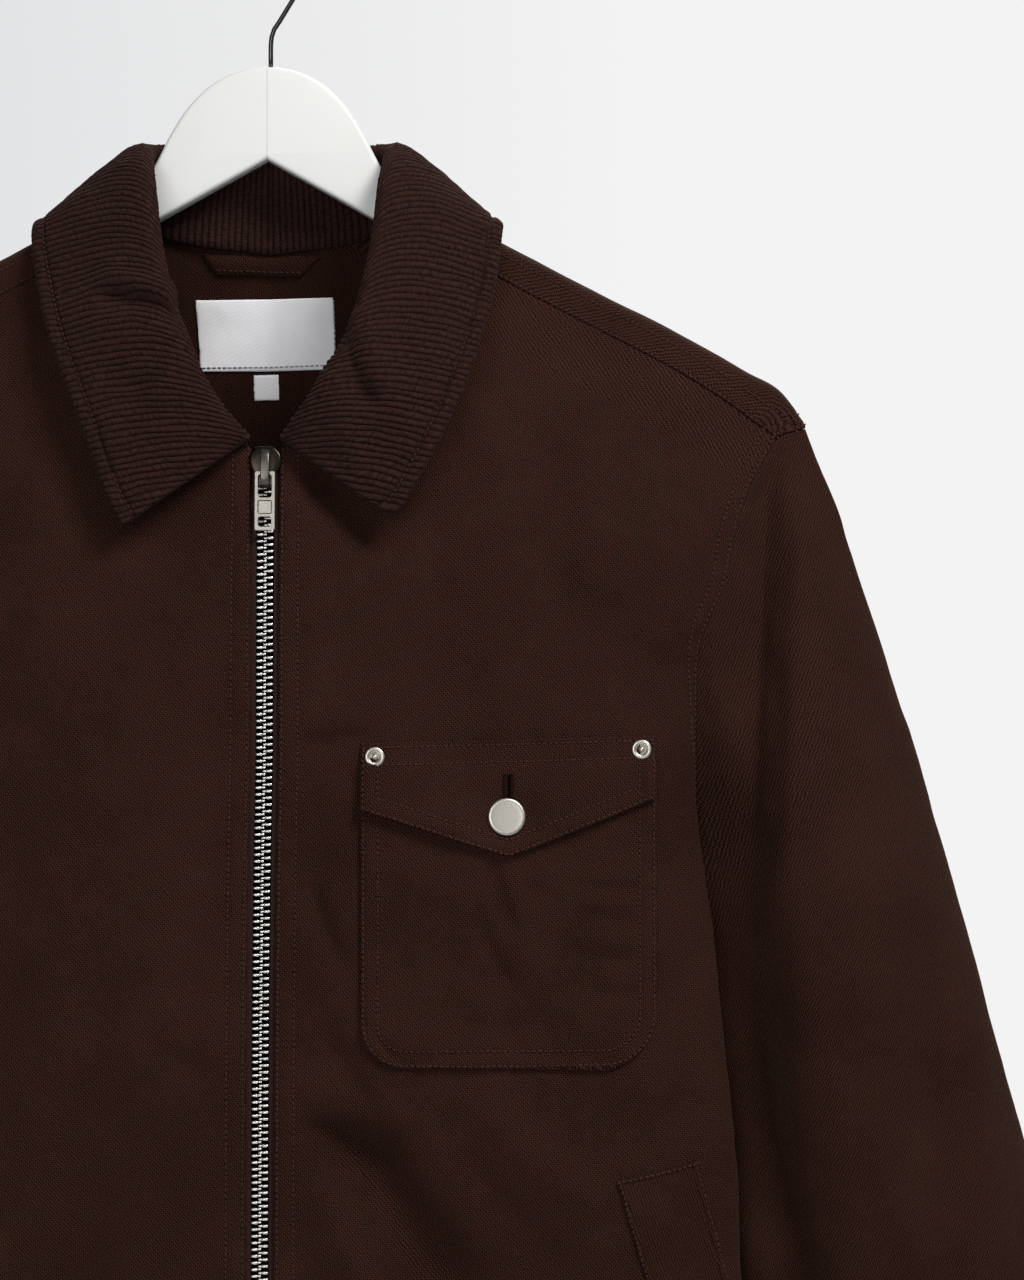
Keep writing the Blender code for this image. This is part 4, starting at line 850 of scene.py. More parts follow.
def hole_of(front, back):
    """Edge of the armhole and its facing: from the ridge down the front and up the back."""
    ridge_at = int(np.argmax(back.grid[:, -1, 2]))
    both = [np.concatenate([b[ridge_at:-1, -1], f[:front.under - 1:-1, -1],
                            b[back.under + 1:ridge_at, -1]])
            for f, b in ((front.grid, back.grid), (front.normals, back.normals))]
    low = int(np.argmin(both[0][:, 2]))
    both[0][low, 1] = 0.0
    loop, turns = (np.concatenate([a, a[:1]]) for a in both)
    way = way_along(loop)
    half = SLEEVE_AROUND // 2
    at = np.concatenate([np.linspace(0, way[low], half, endpoint=False),
                         np.linspace(way[low], way[-1], half, endpoint=False)])
    return pick(at, way, loop), unit(pick(at, way, turns))


def sleeve_cloth(front, back, front_creases, back_creases, seed):
    """Outer face of a sleeve: rings from the armhole to the cuff, starting at the underarm."""
    hole, facing = hole_of(front, back)
    angle = 2 * math.pi * np.arange(SLEEVE_AROUND) / SLEEVE_AROUND
    tangent = np.roll(hole, -2, 0) - np.roll(hole, 2, 0)
    away = unit(np.cross(facing, tangent))
    low = smooth_step((-346 - hole[:, 2:]) / 40.0)
    start = hole + unit(away + facing * low) * (GAP + 0.15 * low)
    rings = []
    for v in spread(650, 3.3, (0, 0.8, 1.8), (0, 0.4, 1.0, 1.8)) ** 1.15:
        outer, inner = (np.array([float(read(SLEEVE, side + "_x", v)), 0,
                                  float(read(SLEEVE, side + "_z", v))])
                        for side in ("outer", "inner"))
        centre, half = (outer + inner) / 2, (outer - inner) / 2
        thin = 1 - 0.5 * smooth_step((-np.cos(angle) - 0.1) / 0.6) * smooth_step((0.8 - v) / 0.3)
        deep = -float(read(SLEEVE, "half_depth", v)) * np.sin(angle) * thin
        ring = centre + np.cos(angle)[:, None] * half + deep[:, None] * np.array([0, 1, 0])
        top = outer - np.array([SLEEVE[0].outer_x, 0, SLEEVE[0].outer_z])
        bottom = inner - np.array([SLEEVE[0].inner_x, 0, SLEEVE[0].inner_z])
        lean = (1 + np.cos(angle))[:, None] / 2
        carried = start + top * lean + bottom * (1 - lean)
        blend = smooth_step(v / 0.32)
        rings.append(carried * (1 - blend) + ring * blend)
    half = SLEEVE_AROUND // 2
    grid = np.roll(np.array(rings), -half, axis=1)
    normals = grid_normals(grid, wrap=True)
    closed = np.concatenate([grid, grid[:, :1]], axis=1)
    edges = edges_of(closed)
    u = edges.left - edges.left[:, half:half + 1]
    x, z = grid[..., 0], grid[..., 2]
    ahead = smooth_step(0.5 - normals[..., 1] * 1.2)
    height = (crease_height(x, z, front_creases) * ahead
              + crease_height(x, z, back_creases) * (1 - ahead))
    around = np.minimum(edges.left, edges.right)[:, :-1]
    ring, high = u[:, :-1], edges.high[:, :-1]
    height += (0.65 * crumple(ring, z, 44.0, seed) + 0.16 * crumple(ring, z, 10.0, seed + 3)
               ) * smooth_step(around / 30.0)
    height *= smooth_step(edges.low[:, :-1] / 9.0) * smooth_step(high / 6.0 + 0.3)
    height += round_off(high, 1.3, 0.8) + pucker(high, ring, 18.0, 6.0, 0.4, 8.0, seed + 7)
    moved = grid + normals * height[..., None]
    turned = grid_normals(moved, wrap=True)
    turned[0] = unit(turned[0] + normals[0])
    axis = unit(grid[-1].mean(0) - grid[4].mean(0))
    fall = closed @ axis
    step = np.linalg.norm(np.diff(closed, axis=1), axis=-1)
    across = summed(np.sqrt(np.maximum(step ** 2 - np.diff(fall, axis=1) ** 2, 1e-6)))
    uv = np.stack([across - across[:, half:half + 1], -fall], axis=-1)
    return Cloth(moved, turned, uv, edges, 0, 0)


def mirrored(pair):
    """A line and its facing, on the wearer's right."""
    line, facing = pair
    return line * MIRROR, facing * MIRROR


# ---- collar -----------------------------------------------------------------
def bezier(p0, p1, p2, p3, t):
    t = t[:, None]
    return (p0[:, None] * (1 - t) ** 3 + 3 * p1[:, None] * t * (1 - t) ** 2
            + 3 * p2[:, None] * t * t * (1 - t) + p3[:, None] * t ** 3)


def even_rows(points, count):
    """Points spread evenly along each row, with the length of every row."""
    way = summed(np.linalg.norm(np.diff(points, axis=1), axis=-1))
    rows = [pick(np.linspace(0, at[-1], count), at, line) for line, at in zip(points, way)]
    return np.array(rows), way[:, -1]


STAND_PARTS = 24
LEAF_PARTS = 48
ALONG = np.linspace(0, 1, 481)      # shares at which half the collar is worked out
Collar = namedtuple("Collar", "points normals leaf fold_at edge_at")


def collar_half(rows):
    """Fine middle face of half the collar, over shares from its front end to the back.

    Its columns run from the neckline over the fold to the leaf's edge. fold_at and
    edge_at are the wales' own coordinate along the fold and along the edge.
    """
    value = {k: read(rows, k, ALONG) for k in Station._fields[1:]}
    neck, fold, edge = (np.stack([value[end + k] for k in "xyz"], -1) for end in "nfe")
    to_neck, to_edge = neck - fold, edge - fold
    over = unit(unit(to_edge) - unit(to_neck))
    tall = np.linalg.norm(to_neck, axis=1)
    reach = np.minimum(value["roll"], 0.45 * tall)[:, None]
    t = np.linspace(0, 1, 80)
    stand = bezier(neck, neck - to_neck * 0.45, fold - over * reach, fold, t)
    leaf = bezier(fold, fold + over * reach, fold + to_edge * 0.4 + over * reach * 0.35,
                  edge, t)
    stand, _ = even_rows(stand, STAND_PARTS + 1)
    leaf, leaf_length = even_rows(leaf, LEAF_PARTS + 1)
    points = np.concatenate([stand, leaf[:, 1:]], axis=1)
    normals = np.cross(np.gradient(points, axis=0), np.gradient(points, axis=1))
    normals[:, :3] = normals[:, 3:4]
    normals = unit(normals)
    if normals[-1, 2, 1] > 0:
        normals = -normals
    normals[-1] = unit(normals[-1] * UPRIGHT)
    fold_at = way_along(fold) * 0.906
    target = (round(fold_at[-1] / WALE - 0.5) + 0.5) * WALE
    fold_at *= target / fold_at[-1]
    way = way_along(edge)
    part = len(ALONG) // 2
    edge_at = edge[:, 2] - fold[0, 2]
    rest = (way[part:] - way[part]) / (way[-1] - way[part])
    rise = fold_at[-1] - edge_at[part]
    slope = (edge_at[part] - edge_at[part - 8]) / (way[part] - way[part - 8])
    slope *= way[-1] - way[part]
    edge_at[part:] = (edge_at[part] + rise * (3 * rest ** 2 - 2 * rest ** 3)
                      + slope * rest * (1 - rest) ** 2)
    edge_at = np.maximum.accumulate(edge_at + np.arange(len(ALONG)) * 1e-4)
    return Collar(points, normals, leaf_length, fold_at, edge_at)


def on_collar(half, s, v):
    """Place and facing at shares s and at v from -1, the neckline, over 0 to 1, the edge."""
    column = np.clip(s, 0, 1) * (len(half.points) - 1.0001)
    row = np.where(v < 0, (v + 1) * STAND_PARTS, STAND_PARTS + v * LEAF_PARTS)
    row = np.clip(row, 0, STAND_PARTS + LEAF_PARTS - 0.0001)
    return between(half.points, column, row), unit(between(half.normals, column, row))


def arch(v):
    """Rise of a wale as it leaves the fold, before it falls gently to the edge."""
    v = np.clip(v, 0, 1)
    return 6.5 * np.sin(math.pi * v ** 0.62) - 2.0 * v


def share_of(half, w, v):
    """Share at which the wales' coordinate is w, along the line at v."""
    low, high = np.zeros_like(w), np.ones_like(w)
    last = len(half.fold_at) - 1
    places = np.arange(last + 1) / last
    part = np.clip(v, 0, 1)
    for _ in range(24):
        mid = (low + high) / 2
        here = ((1 - part) * np.interp(mid, places, half.fold_at)
                + part * np.interp(mid, places, half.edge_at))
        here = here - arch(part) * smooth_step((0.75 - mid) / 0.25)
        low, high = np.where(here < w, mid, low), np.where(here < w, high, mid)
    return (low + high) / 2


def leaf_folds(points, v, creases):
    """Height of a leaf's creases, fading out over the fold line."""
    ahead = smooth_step((-points[..., 1] - 8) / 12.0) * smooth_step((v + 0.12) / 0.16)
    return crease_height(points[..., 0], points[..., 2], creases) * ahead


FRACTIONS = (0.0, 0.12, 0.3, 0.5, 0.7, 0.88)    # columns over one wale, and their heights
RIB = (0.0, 0.6, 0.92, 1.0, 0.94, 0.62)
FROM_EDGE = (0, 0.45, 1.1, 2.0, 3.2, 4.6, 5.8, 6.5, 7.0, 7.5, 8.3, 9.8, 11.8)
STAND_ROWS = 12
LEAF_ROWS = 30


def corduroy_half(stations, creases, seed):
    """Ribbed grid of half the collar with its columns along the wales.

    Rows run from the neckline to the edge. Wales below the front end of the fold
    start at the leaf's front edge, so their rows on the stand aren't used.
    """
    half = collar_half(stations)
    # Columns: several over each wale, at their places along the fold.
    first = -int((-half.edge_at[0] + arch(np.ones(1))[0]) / WALE)
    last = half.fold_at[-1] / WALE
    w, rib_height_and_shade = [], []
    for k in range(first, int(last) + 1):
        for part, height in zip(FRACTIONS, RIB):
            if k + part <= last + 1e-6:
                w.append((k + part) * WALE)
                rib_height_and_shade.append(height)
    w, rib_height_and_shade = np.delete(w, -3), np.delete(rib_height_and_shade, -3)
    unused = int(np.sum(w < -1e-6))
    down = np.linspace(0, 1, 400)
    front_at = half.edge_at[0] * down - arch(down)
    start = np.where(w < 0, np.interp(-w, -front_at, down), 0.0)
    length = np.interp(share_of(half, np.maximum(w, 0), start), ALONG, half.leaf) * (1 - start)
    # Rows: up the stand, over the leaf, then closer together towards its edge.
    rows = [np.full(len(w), -1 + k / STAND_ROWS) for k in range(STAND_ROWS)]
    fixed = np.array(FROM_EDGE)[::-1]
    squeeze = np.minimum(1.0, length / 26.0)
    body = LEAF_ROWS - len(fixed) + 1
    for k in range(body):
        rows.append(start + (1 - start) * (1 - fixed[0] * squeeze / length) * k / body)
    for distance in fixed:
        rows.append(start + (1 - start) * (1 - distance * squeeze / length))
    v = np.array(rows)
    w = np.broadcast_to(w, v.shape)
    along = np.clip(v, 0, 1) * 60
    waver = (0.55 * noise(w / 7.0, along / 11.0, seed + 31)
             + 0.35 * noise(w / 3.4, along / 6.5, seed + 32))
    calm = smooth_step(v / 0.1) * smooth_step((half.fold_at[-1] - w) / 12.0)
    s = share_of(half, w + waver * calm, v)
    points, normals = on_collar(half, s, v)
    # Height: rounded edges, uneven wales pressed flat at the stitching, and creases.
    edge, _ = on_collar(half, np.linspace(0, 1, 120), np.ones(120))
    front, _ = on_collar(half, np.zeros(30), np.linspace(-1, 1, 30))
    off_edge, off_front = distance_to(points, edge), distance_to(points, front)
    rim = np.minimum(off_edge, off_front)
    height = 0.25 + PLY - 0.95 * (1 - np.sqrt(1 - (1 - np.clip(rim / 2.4, 0, 1)) ** 2))
    across = v * 60.0
    uneven = (1 + 0.2 * noise(w / WALE * 0.9, across / 9.0, seed)
              + 0.22 * noise(w / WALE * 1.7, across / 3.0, seed + 1))
    calm = 1 - 0.72 * bell(off_edge, COLLAR_ROW, 0.95)
    calm = calm * (1 - 0.3 * bell(off_front, COLLAR_ROW, 1.2))
    calm = calm * (0.35 + 0.65 * smooth_step(rim / 1.8))
    rib_height_and_shade = np.broadcast_to(rib_height_and_shade, v.shape)
    height += WALE_HEIGHT * rib_height_and_shade * uneven * calm
    height -= 0.5 * bell(off_edge, COLLAR_ROW, 1.1)
    height += 0.3 * bell(off_edge, 3.4, 1.9)
    height += 0.1 * noise(w / 0.9, across / 1.4, seed + 2) * rib_height_and_shade
    folds = leaf_folds(points, v, creases) * smooth_step(rim / 6.0)
    height += folds + 0.5 * crumple(w, across, 26.0, seed + 4)
    keep = np.ones((len(v) // 2, (v.shape[1] - 1) // 2), bool)
    keep[:STAND_ROWS // 2, :unused // 2] = False
    outer = points + normals * height[..., None]
    inner = points + normals * 0.25 + folds[..., None] * normals
    # The wales' heights, lowered at the stitching and near the edges, also go to the material as
    # painted shade between the wales.
    values = {"rib_height_and_shade": rib_height_and_shade * calm, "rim": rim}
    return half, outer, inner, np.stack([w, across], -1), keep, values


def collar_pieces():
    """Corduroy top layer and the canvas layer under it."""
    a = corduroy_half(COLLAR_LEFT, CREASES_LEAF_LEFT, 121)
    b = corduroy_half(COLLAR_RIGHT, CREASES_LEAF_RIGHT, 141)

    def joined(one, two, turn=1, shift=0):
        return np.concatenate([one, (two * turn + shift)[:, -2::-1]], axis=1)

    shift = np.array([2 * a[3][0, -1, 0], 0])
    top = shell("collar_top_cloth", joined(a[1], b[1], MIRROR),
                joined(a[2], b[2], MIRROR)[::2, ::2], joined(a[3], b[3], MIRROR[:2], shift),
                corduroy, keep=np.concatenate([a[4], b[4][:, ::-1]], axis=1),
                values={k: joined(a[5][k], b[5][k]) for k in ("rib_height_and_shade", "rim")}, flip=True)
    lower = []
    s = np.linspace(0, 1, 141)
    v = np.concatenate([np.linspace(-1, 0, 13)[:-1], np.linspace(0, 1, 25)])
    for half, turn, creases in ((a[0], 1, CREASES_LEAF_LEFT), (b[0], -1, CREASES_LEAF_RIGHT)):
        places, facings = on_collar(half, *np.meshgrid(s, v))
        long = np.interp(s, ALONG, half.leaf)
        fall = leaf_folds(places, v[:, None], creases) * smooth_step(
            np.minimum(long * (1 - v[:, None]), s * 240.0) / 6.0)
        places = places + facings * np.minimum(fall, 0.3)[..., None]
        if turn < 0:
            places, facings = (g[:, ::-1][:, 1:] for g in mirrored((places, facings)))
        lower.append((places, facings))
        s_row = np.linspace(0.02, 1, 260)
        long = np.interp(s_row, ALONG, half.leaf)
        line, facing = on_collar(half, s_row, 1 - COLLAR_ROW / long)
        pair = (line + facing * (PLY - 0.05), facing)
        stitches.append(pair if turn > 0 else mirrored(pair))
    places, facings = (np.concatenate(pair, axis=1) for pair in zip(*lower))
    uv = np.stack(np.meshgrid(np.arange(places.shape[1]) * 2.2,
                              np.arange(places.shape[0]) * 2.6), -1)
    under = shell("collar_under_cloth", places - facings * (0.25 + PLY),
                  (places - facings * 0.25)[::2, ::2], uv, canvas)
    return top, under


# ---- pieces laid on the fronts ----------------------------------------------
def smooth_grid(grid, passes):
    """Even out a grid a little, keeping its border."""
    grid = grid.copy()
    for _ in range(passes):
        grid[1:-1, 1:-1] = (grid[1:-1, 1:-1] * 2 + grid[:-2, 1:-1] + grid[2:, 1:-1]
                            + grid[1:-1, :-2] + grid[1:-1, 2:]) / 6
    return grid


def patch(name, tree, x, z, lift, skin, thickness=PLY, passes=3):
    """Piece of cloth that lies on the cloth under it, at places x and z in front view.

    lift is how far it stands off at every place.
    """
    base = smooth_grid(lay_on(tree, x, z), passes)
    base[..., 0], base[..., 2] = x, z
    soft = base.copy()
    for _ in range(40):
        wide = np.pad(soft[..., 1], 1, mode="edge")
        soft[..., 1] = (wide[1:-1, 1:-1] * 2 + wide[:-2, 1:-1] + wide[2:, 1:-1]
                        + wide[1:-1, :-2] + wide[1:-1, 2:]) / 6
    normals = grid_normals(soft)
    edges = edges_of(base)
    rim = np.minimum(np.minimum(edges.left, edges.right), np.minimum(edges.low, edges.high))
    outer = base + normals * (lift + thickness + round_off(rim, 0.9, 0.45))[..., None]
    inner = (base + normals * np.asarray(lift)[..., None])[::2, ::2]
    return shell(name, outer, inner, np.stack([x, z], -1), skin), outer


def line_on(grid, path, rise=RISE):
    """Line over cloth above the places of a path in front view, with its facing."""
    tree = caster(grid)
    path = np.array(path, float)
    way = way_along(path)
    found = [front_of(tree, x, z)
             for x, z in pick(np.linspace(0, way[-1], max(int(way[-1]), 2)), way, path)]
    found = [(place, normal) for place, normal in found if place is not None]
    return (np.array([place + normal * rise for place, normal in found]),
            np.array([normal for _, normal in found]))


def corner(cx, cz, radius, start, stop, count):
    turns = np.radians(np.linspace(start, stop, count))
    return [(cx + radius * math.cos(a), cz + radius * math.sin(a)) for a in turns]


# ---- materials --------------------------------------------------------------
def wire(tree, kind, inputs=None, **settings):
    """Node with its settings, its inputs set to values or linked to sockets."""
    node = tree.nodes.new(kind)
    for key, value in settings.items():
        setattr(node, key, value)
    for key, value in (inputs or {}).items():
        if isinstance(value, bpy.types.NodeSocket):
            tree.links.new(value, node.inputs[key])
        else:
            node.inputs[key].default_value = value
    return node


def math_node(tree, operation, *values):
    return wire(tree, "ShaderNodeMath", dict(enumerate(values)), operation=operation).outputs[0]


def times(tree, a, b):
    return math_node(tree, "MULTIPLY", a, b)


def plus(tree, a, b):
    return math_node(tree, "ADD", a, b)


def scaled(tree, value, factor, shift):
    return math_node(tree, "MULTIPLY_ADD", value, factor, shift)


def blend_colour(tree, factor, low, high):
    node = wire(tree, "ShaderNodeMix", {0: factor}, data_type="RGBA")
    for index, colour in ((6, low), (7, high)):
        if isinstance(colour, bpy.types.NodeSocket):
            tree.links.new(colour, node.inputs[index])
        else:
            node.inputs[index].default_value = (*colour, 1)
    return node.outputs[2]


def effect(name, inputs, outputs):
    """Empty shader group with float inputs and the outputs given as (name, kind)."""
    tree = bpy.data.node_groups.new(name, "ShaderNodeTree")
    for label, value in inputs:
        socket = tree.interface.new_socket(label, in_out="INPUT", socket_type="NodeSocketFloat")
        socket.default_value = value
    for label, kind in outputs:
        tree.interface.new_socket(label, in_out="OUTPUT", socket_type="NodeSocket" + kind)
    return tree, tree.nodes.new("NodeGroupInput"), tree.nodes.new("NodeGroupOutput")


def noise_node(tree, vector, scale, detail=2.0, roughness=0.5):
    return wire(tree, "ShaderNodeTexNoise", {
        "Vector": vector, "Scale": scale, "Detail": detail,
        "Roughness": roughness}).outputs["Fac"]


def object_place(tree):
    return wire(tree, "ShaderNodeTexCoord").outputs["Object"]


def pattern_place(tree):
    """The cloth's own coordinates, in millimetres."""
    uv = wire(tree, "ShaderNodeUVMap", uv_map="UVMap").outputs[0]
    return wire(tree, "ShaderNodeVectorMath", {0: uv, 1: (1000, 1000, 0)},
                operation="MULTIPLY").outputs[0]


def twill_effect():
    """Diagonal twill weave in pattern coordinates: thread height and colour."""
    tree, given, made = effect("twill_weave", [("Pitch", 1.0), ("Slope", 45.0)],
                               [("Height", "Float"), ("Shade", "Float")])
    mm = pattern_place(tree)
    slow, fine = noise_node(tree, mm, 0.35), noise_node(tree, mm, 1.5, 3.0)
    angle, pitch = math_node(tree, "RADIANS", given.outputs["Slope"]), given.outputs["Pitch"]
    sine, cosine = math_node(tree, "SINE", angle), math_node(tree, "COSINE", angle)
    x, y, _ = wire(tree, "ShaderNodeSeparateXYZ", {0: mm}).outputs
    across = plus(tree, times(tree, x, sine), times(tree, y, cosine))
    along = math_node(tree, "SUBTRACT", times(tree, x, cosine), times(tree, y, sine))
    turns = plus(tree, math_node(tree, "DIVIDE", across, pitch), times(tree, slow, 1.2))
    beats = math_node(tree, "DIVIDE", along, pitch)
    line = math_node(tree, "SINE", times(tree, turns, 2 * math.pi))
    beat = math_node(tree, "SINE", times(tree, beats, 2 * math.pi * 0.94))
    knot = times(tree, line, beat)
    height = plus(tree, scaled(tree, line, 0.26, 0.5), times(tree, knot, 0.3))
    height = plus(tree, height, scaled(tree, fine, 0.5, -0.25))
    shade = plus(tree, scaled(tree, line, 0.3, 0.06), times(tree, knot, 0.5))
    tree.links.new(height, made.inputs["Height"])
    tree.links.new(plus(tree, shade, times(tree, fine, 0.8)), made.inputs["Shade"])
    return tree


def worn_effect():
    """Slow, uneven change of a cloth's colour over the whole piece."""
    tree, given, made = effect("worn_colour", [("Size", 60.0)], [("Shade", "Float")])
    scale = math_node(tree, "DIVIDE", 1000.0, given.outputs["Size"])
    tree.links.new(noise_node(tree, object_place(tree), scale, 4.0, 0.6), made.inputs["Shade"])
    return tree


def surface(name, roughness, metallic=0.0, specular=0.5):
    made = bpy.data.materials.new(name)
    made.use_nodes = True
    shader = made.node_tree.nodes["Principled BSDF"]
    for key, value in (("Roughness", roughness), ("Metallic", metallic),
                       ("Specular IOR Level", specular)):
        shader.inputs[key].default_value = value
    return made, made.node_tree, shader


def use(tree, effect_tree, **inputs):
    node = tree.nodes.new("ShaderNodeGroup")
    node.node_tree = effect_tree
    for key, value in inputs.items():
        node.inputs[key].default_value = value
    return node


def bump(tree, shader, height, distance):
    node = wire(tree, "ShaderNodeBump", {"Height": height, "Distance": distance,
                                         "Strength": 1.0})
    tree.links.new(node.outputs[0], shader.inputs["Normal"])


def dye(tree, shader, factor, low, high):
    tree.links.new(blend_colour(tree, factor, low, high), shader.inputs["Base Color"])


def give_sheen(shader, weight, roughness, tint):
    shader.inputs["Sheen Weight"].default_value = weight
    shader.inputs["Sheen Roughness"].default_value = roughness
    shader.inputs["Sheen Tint"].default_value = (*tint, 1)


def cloth_material(name, dark, light, pitch, slope, depth, sheen, fade=1.0):
    made, tree, shader = surface(name, 0.9, 0.0, 0.04)
    weave = use(tree, twill, Pitch=pitch, Slope=slope)
    worn = use(tree, wear, Size=60.0)
    amount = plus(tree, times(tree, weave.outputs["Shade"], 1.3),
                  scaled(tree, worn.outputs[0], 0.6, -0.45))
    warm = scaled(tree, use(tree, wear, Size=38.0).outputs[0], 3.2, -1.25)
    light = blend_colour(tree, warm, light, (light[0] * 0.99, light[1] * fade, light[2] * 0.95))
    dye(tree, shader, amount, dark, light)
    give_sheen(shader, sheen, 0.35, (0.75, 0.5, 0.42))
    bump(tree, shader, weave.outputs["Height"], depth * MM)
    return made


def corduroy_material():
    """Pile with painted shade, near black, between the wales, at the stitching and near the
    edges, and uneven along them.
    """
    made, tree, shader = surface("brown_corduroy", 0.95, 0.0, 0.08)
    mm = pattern_place(tree)
    nap = noise_node(tree, mm, 0.6, 5.0, 0.75)
    cut = wire(tree, "ShaderNodeVectorMath", {0: mm, 1: (0.3, 0.95, 0)}, operation="MULTIPLY")
    cross = noise_node(tree, cut.outputs[0], 1.0)
    # The rib attribute darkens the colour as painted shade in the valleys between the wales.
    rib_height_and_shade = wire(tree, "ShaderNodeAttribute", attribute_name="rib_height_and_shade").outputs["Fac"]
    amount = times(tree, scaled(tree, rib_height_and_shade, 0.7, 0.13),
                   plus(tree, scaled(tree, nap, 2.6, -1.3), times(tree, cross, 1.9)))
    dye(tree, shader, amount, (0.002, 0.0008, 0.0007), (0.0345, 0.0142, 0.0115))
    give_sheen(shader, 0.06, 0.4, (0.8, 0.55, 0.48))
    bump(tree, shader, plus(tree, nap, cross), 0.7 * MM)
    return made


def metal_material(name, colour, roughness, grain):
    made, tree, shader = surface(name, roughness, 1.0)
    fine = noise_node(tree, object_place(tree), 900.0, 3.0)
    dye(tree, shader, fine, colour, tuple(c * 0.78 for c in colour))
    tree.links.new(scaled(tree, fine, grain, roughness), shader.inputs["Roughness"])
    return made


def painted_material():
    """White painted wood, with a faint line where its two halves are joined."""
    made, tree, shader = surface("white_painted_wood", 0.38, 0.0, 0.4)
    place = object_place(tree)
    x = wire(tree, "ShaderNodeSeparateXYZ", {0: place}).outputs[0]
    near = wire(tree, "ShaderNodeMapRange", {"Value": math_node(tree, "ABSOLUTE", x),
                                             "From Min": 0.00008, "From Max": 0.0004,
                                             "To Min": 0.45, "To Max": 0.0})
    grain = noise_node(tree, place, 40.0, 4.0)
    white = blend_colour(tree, grain, (0.735, 0.735, 0.72), (0.7, 0.7, 0.686))
    dye(tree, shader, near.outputs[0], white, (0.35, 0.34, 0.32))
    bump(tree, shader, grain, 0.15 * MM)
    return made


twill = twill_effect()
wear = worn_effect()
corduroy = corduroy_material()
# Name, dark and light colour, pitch and slope of the weave, its depth and its sheen.
canvas = cloth_material("brown_canvas", (0.003, 0.001, 0.0006), (0.0535, 0.021, 0.0158),
                        1.2, 50.0, 0.3, 0.06, 1.08)
tape_cloth = cloth_material("brown_zip_tape", (0.016, 0.0075, 0.0065), (0.042, 0.02, 0.017),
                            0.7, 20.0, 0.2, 0.05)
label_cloth = cloth_material("white_label_cloth", (0.9, 0.89, 0.92), (0.97, 0.96, 0.99),
                             0.6, 8.0, 0.1, 0.0)
# painted_hole_shade is near black: painted shade in the needle holes between stitches and in the
# buttonhole's slit.
thread, grey_thread, hole_shade, hole_thread = (
    cloth_material(name, dark, light, 0.4, 60.0, 0.05, sheen) for name, dark, light, sheen in (
        ("brown_thread", (0.042, 0.017, 0.0143), (0.08, 0.035, 0.029), 0.1),
        ("grey_thread", (0.3, 0.3, 0.32), (0.45, 0.45, 0.47), 0.0),
        ("painted_hole_shade", (0.002, 0.001, 0.001), (0.004, 0.002, 0.002), 0.0),
        ("buttonhole_thread", (0.012, 0.005, 0.004), (0.036, 0.0155, 0.013), 0.0)))
# nickel_dark_reflection, used on the zip slider, is nickel darkened as a painted dark reflection.
nickel, tooth_nickel, pull_nickel, dark_nickel, bridge_nickel, steel = (
    metal_material(*row) for row in (
        ("satin_nickel", (0.56, 0.53, 0.47), 0.3, 0.12),
        ("bright_nickel", (0.84, 0.82, 0.78), 0.28, 0.1),
        ("brushed_nickel", (0.33, 0.31, 0.275), 0.32, 0.12),
        ("nickel_dark_reflection", (0.042, 0.034, 0.026), 0.2, 0.1),
        ("shaded_nickel", (0.14, 0.13, 0.115), 0.3, 0.1),
        ("polished_steel", (0.1, 0.1, 0.102), 0.14, 0.06)))
white_wood = painted_material()

# ---- body panels ------------------------------------------------------------
left = front_cloth(1, FOLDS_LEFT, CREASES_LEFT, 1)
right = front_cloth(-1, FOLDS_RIGHT, CREASES_RIGHT, 21)
back_left = back_cloth(FOLDS_BACK, CREASES_BACK, 41)
back_right = back_cloth(FOLDS_BACK, CREASES_BACK[::2], 61)
joined = slice(0, back_left.neck + 1)
centre = unit(back_left.normals[:, 0] + back_right.normals[:, 0])
centre[joined] = unit(centre[joined] * UPRIGHT)
spine = (back_left.grid[joined, 0] + back_right.grid[joined, 0]) / 2 * UPRIGHT
for half in (back_left, back_right):
    half.grid[joined, 0] = spine
    half.normals[:, 0] = centre
shown = {}
shown["front_left"] = make_front("front_left_cloth", left, 1)
shown["front_right"] = make_front("front_right_cloth", right, -1)
back_under = [inner_of(b.grid, b.normals, CLOTH) for b in (back_left, back_right)]
shown["back"] = shell("back_cloth", back_left.grid, back_under[0], back_left.uv, canvas,
                      open_left=back_left.neck // 2, other=(back_right.grid, back_under[1]),
                      flip=True)
for sign, side, front, back in ((1, "left", left, back_left), (-1, "right", right, back_right)):
    sleeve = sleeve_cloth(front, back, CREASES_SLEEVE, CREASES_SLEEVE_BACK, 90 + 10 * sign)
    turn = np.array([sign, 1, 1])
    shown["sleeve_" + side] = shell(
        "sleeve_%s_cloth" % side, sleeve.grid * turn,
        inner_of(sleeve.grid, sleeve.normals, CLOTH) * turn, sleeve.uv, canvas, wrap=True,
        flip=sign < 0)
    for at in CUFF_ROWS:
        ring = column_at(sleeve.grid, sleeve.normals, sleeve.edges.high[:, :-1], at)
        stitches.append(tuple(np.concatenate([a, a[:1]]) * turn for a in ring))
    rows = slice(0, front.neck + 1)
    lines = [row_at(front.grid, front.normals, front.edges.left, at, rows) for at in ZIP_ROWS]
    for cloth in (front, back):
        lines += [column_at(cloth.grid, cloth.normals, cloth.edges.low, at) for at in HEM_ROWS]
    lines += [column_at(back.grid, back.normals, back.edges.high, at) for at in SEAM_ROWS]
    for at in SIDE_ROWS:
        for cloth, low, high in ((front, front.under + 1, None), (back, back.under + 1, None),
                                 (back, 0, back.under + 1)):
            lines.append(row_at(cloth.grid, cloth.normals, cloth.edges.right, at,
                                slice(low, high)))
    stitches += lines if sign > 0 else [mirrored(line) for line in lines]

# ---- collar -----------------------------------------------------------------
shown["collar_top"], shown["collar_under"] = collar_pieces()

